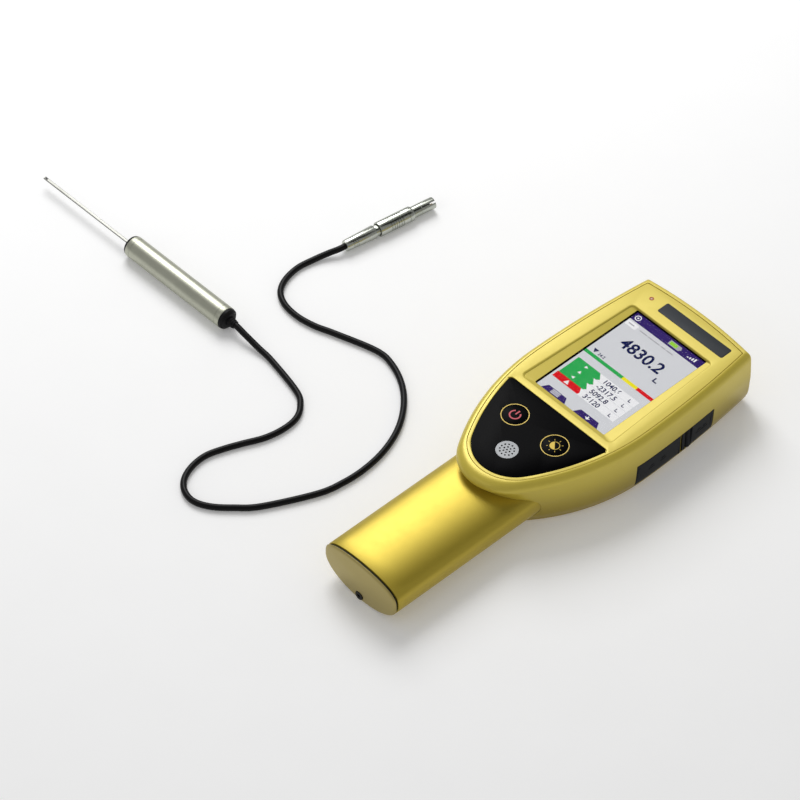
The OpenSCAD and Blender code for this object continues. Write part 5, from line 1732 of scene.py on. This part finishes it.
@dataclass
class Probe:
    """The barrel, its caps, the blade stem and the strain relief, along +X from the front end."""

    paints: Paints
    front: tuple[float, float] = (-263 * MM, -86 * MM)
    turn: float = 1.0
    radius: float = 6.25 * MM
    cap_l: float = 1.6 * MM
    barrel_l: float = 74 * MM
    rear_l: float = 3 * MM
    stem_l: float = 71 * MM
    stem_w: float = 1.7 * MM
    stem_t: float = 0.9 * MM

    def place(self) -> Matrix:
        """Where the probe lies."""
        return (Matrix.Translation((*self.front, self.radius))
                @ Matrix.Rotation(math.radians(self.turn), 4, "Z"))

    def barrel(self) -> None:
        """The anodised tube with softened ends and two fine turned lines."""
        x0, x1, r = self.cap_l, self.cap_l + self.barrel_l, self.radius
        inner = r - 1.4 * MM
        profile = [(x0, inner), (x0, r - 0.4 * MM), (x0 + 0.12 * MM, r - 0.12 * MM), (x0 + 0.4 * MM, r)]
        for x in (x0 + 3.0 * MM, x1 - 3.6 * MM):
            profile += [(x, r), (x + 0.1 * MM, r - 0.12 * MM), (x + 0.35 * MM, r - 0.12 * MM), (x + 0.45 * MM, r)]
        profile += [(x1 - 0.4 * MM, r), (x1 - 0.12 * MM, r - 0.12 * MM), (x1, r - 0.4 * MM), (x1, inner),
                    (x0, inner)]
        barrel = lathe("barrel_tube", profile, self.place(), 96)
        show(barrel, Body.PROBE, self.paints.barrel, "barrel_metal", "probe_barrel")

    def caps(self) -> None:
        """The black front and rear caps and the strain relief."""
        r = self.radius
        front = [(0.0, 1.0 * MM), (0.0, r - 1.2 * MM), (0.25 * MM, r - 0.75 * MM), (0.8 * MM, r - 0.4 * MM),
                 (self.cap_l - 0.1 * MM, r - 0.2 * MM), (self.cap_l, r - 0.25 * MM), (self.cap_l, r - 1.45 * MM),
                 (self.cap_l + 5 * MM, r - 1.45 * MM), (self.cap_l + 5 * MM, 3.05 * MM), (self.cap_l, 3.05 * MM),
                 (self.cap_l, 1.0 * MM), (0.0, 1.0 * MM)]
        cap = lathe("front_cap", front, self.place())
        show(cap, Body.PROBE, self.paints.plastic, "black_plastic", "probe_front_cap")
        x = self.cap_l + self.barrel_l
        rear = [(x, 2.5 * MM), (x, r - 0.15 * MM), (x + 0.3 * MM, r - 0.1 * MM), (x + 1.5 * MM, r - 0.35 * MM),
                (x + 1.9 * MM, r - 0.9 * MM), (x + 2.1 * MM, r - 1.4 * MM), (x + 2.8 * MM, r - 1.8 * MM),
                (x + self.rear_l, r - 2.3 * MM), (x + self.rear_l, 2.5 * MM), (x, 2.5 * MM)]
        cap = lathe("rear_cap", rear, self.place())
        show(cap, Body.PROBE, self.paints.plastic, "black_plastic", "probe_rear_cap")
        start = x + self.rear_l
        relief = [(x - 3 * MM, 1.78 * MM), (x - 3 * MM, 2.45 * MM), (start, 2.45 * MM), (start + 0.05 * MM, 2.9 * MM)]
        for i in range(3):
            at = start + (0.5 + 1.2 * i) * MM
            rr = 2.9 * MM - 0.2 * MM * i
            relief += [(at, rr), (at + 0.2 * MM, rr - 0.3 * MM), (at + 0.6 * MM, rr - 0.35 * MM),
                       (at + 0.8 * MM, rr - 0.2 * MM)]
        relief += [(start + 4.3 * MM, 2.15 * MM), (start + 4.4 * MM, 1.95 * MM), (start + 4.4 * MM, 1.78 * MM),
                   (x - 3 * MM, 1.78 * MM)]
        boot = lathe("strain_boot", relief, self.place(), 40)
        show(boot, Body.PROBE, self.paints.seal, "seal_black", "probe_strain_relief")

    def stem(self) -> None:
        """The flat blade stem with softened edges and a sealed sensor window at its tip."""
        w, t = self.stem_w / 2, self.stem_t / 2
        blade = block("stem_blade", (-self.stem_l, -w, -t), (6 * MM, w, t), 0.16 * MM, 3)
        blade.data.transform(self.place())
        window = block("seat", (-self.stem_l + 0.6 * MM, -w + 0.3 * MM, 0.05 * MM),
                       (-self.stem_l + 2.6 * MM, w - 0.3 * MM, t + 0.5 * MM))
        window.data.transform(self.place())
        cut(blade, window)
        show(blade, Body.PROBE, self.paints.stem, "stem_metal", "probe_stem")

    def build(self) -> None:
        """Builds the probe's visible pieces."""
        self.barrel()
        self.caps()
        self.stem()


# ------------------------------------------------------------------ carried-over nodes


def dress_nodes(p: Paints) -> None:
    """Gives every carried-over node its finish.

    Args:
        p: The finishes.
    """
    finishes = {
        "casing_seal": p.seal, "casing_screws": p.steel, "display_gasket": p.foam,
        "display_window": p.window, "lcd_panel": p.plastic, "backlight_frame": p.white,
        "display_ribbon": p.ribbon, "key_rings": p.ring, "keypad_board": p.board, "key_domes": p.spring,
        "buzzer_grille": p.mesh_metal, "buzzer": p.plastic, "main_board": p.board,
        "board_screws": p.steel, "processor_chip": p.chip, "shield_can": p.tin, "board_parts": p.chip,
        "usb_socket": p.tin, "charge_jack": p.plastic, "card_slot": p.tin, "probe_socket": p.socket,
        "socket_insert": p.insulator, "socket_nut": p.socket, "cover_pins": p.steel,
        "cover_anchor": p.rubber, "handle_bracket": p.tin, "handle_screws": p.steel,
        "contact_block": p.plastic, "battery_springs": p.spring, "battery_tray": p.plastic,
        # The end cap's screw takes the black moulding so that its recess looks dark: painted shade in the screw hole.
        "battery_cells": p.cell, "end_cap_seal": p.seal, "end_cap_screw": p.plastic,
        "rating_plate": p.label, "sensor_element": p.chip, "sensor_board": p.board,
        "plug_insert": p.insulator, "plug_pins": p.contact}
    for name, finish in finishes.items():
        obj = frame["nodes"][name]
        obj.data.materials.clear()
        obj.data.materials.append(finish)
        LOG.info("dressed %s", name)


def main() -> None:
    """Builds the scene in order."""
    logging.basicConfig(level=logging.INFO, format="%(name)s: %(message)s")
    Studio().build()
    paints = Paints()
    plug = Plug(paints).build()
    Lead(paints).build([*plug, frame["nodes"]["plug_insert"], frame["nodes"]["plug_pins"]])
    casing = Casing(paints)
    casing.build()
    Screen(paints).build()
    Handle(paints).build()
    SideCovers(paints, casing).build()
    Probe(paints).build()
    dress_nodes(paints)


if __name__ == "__main__":
    main()
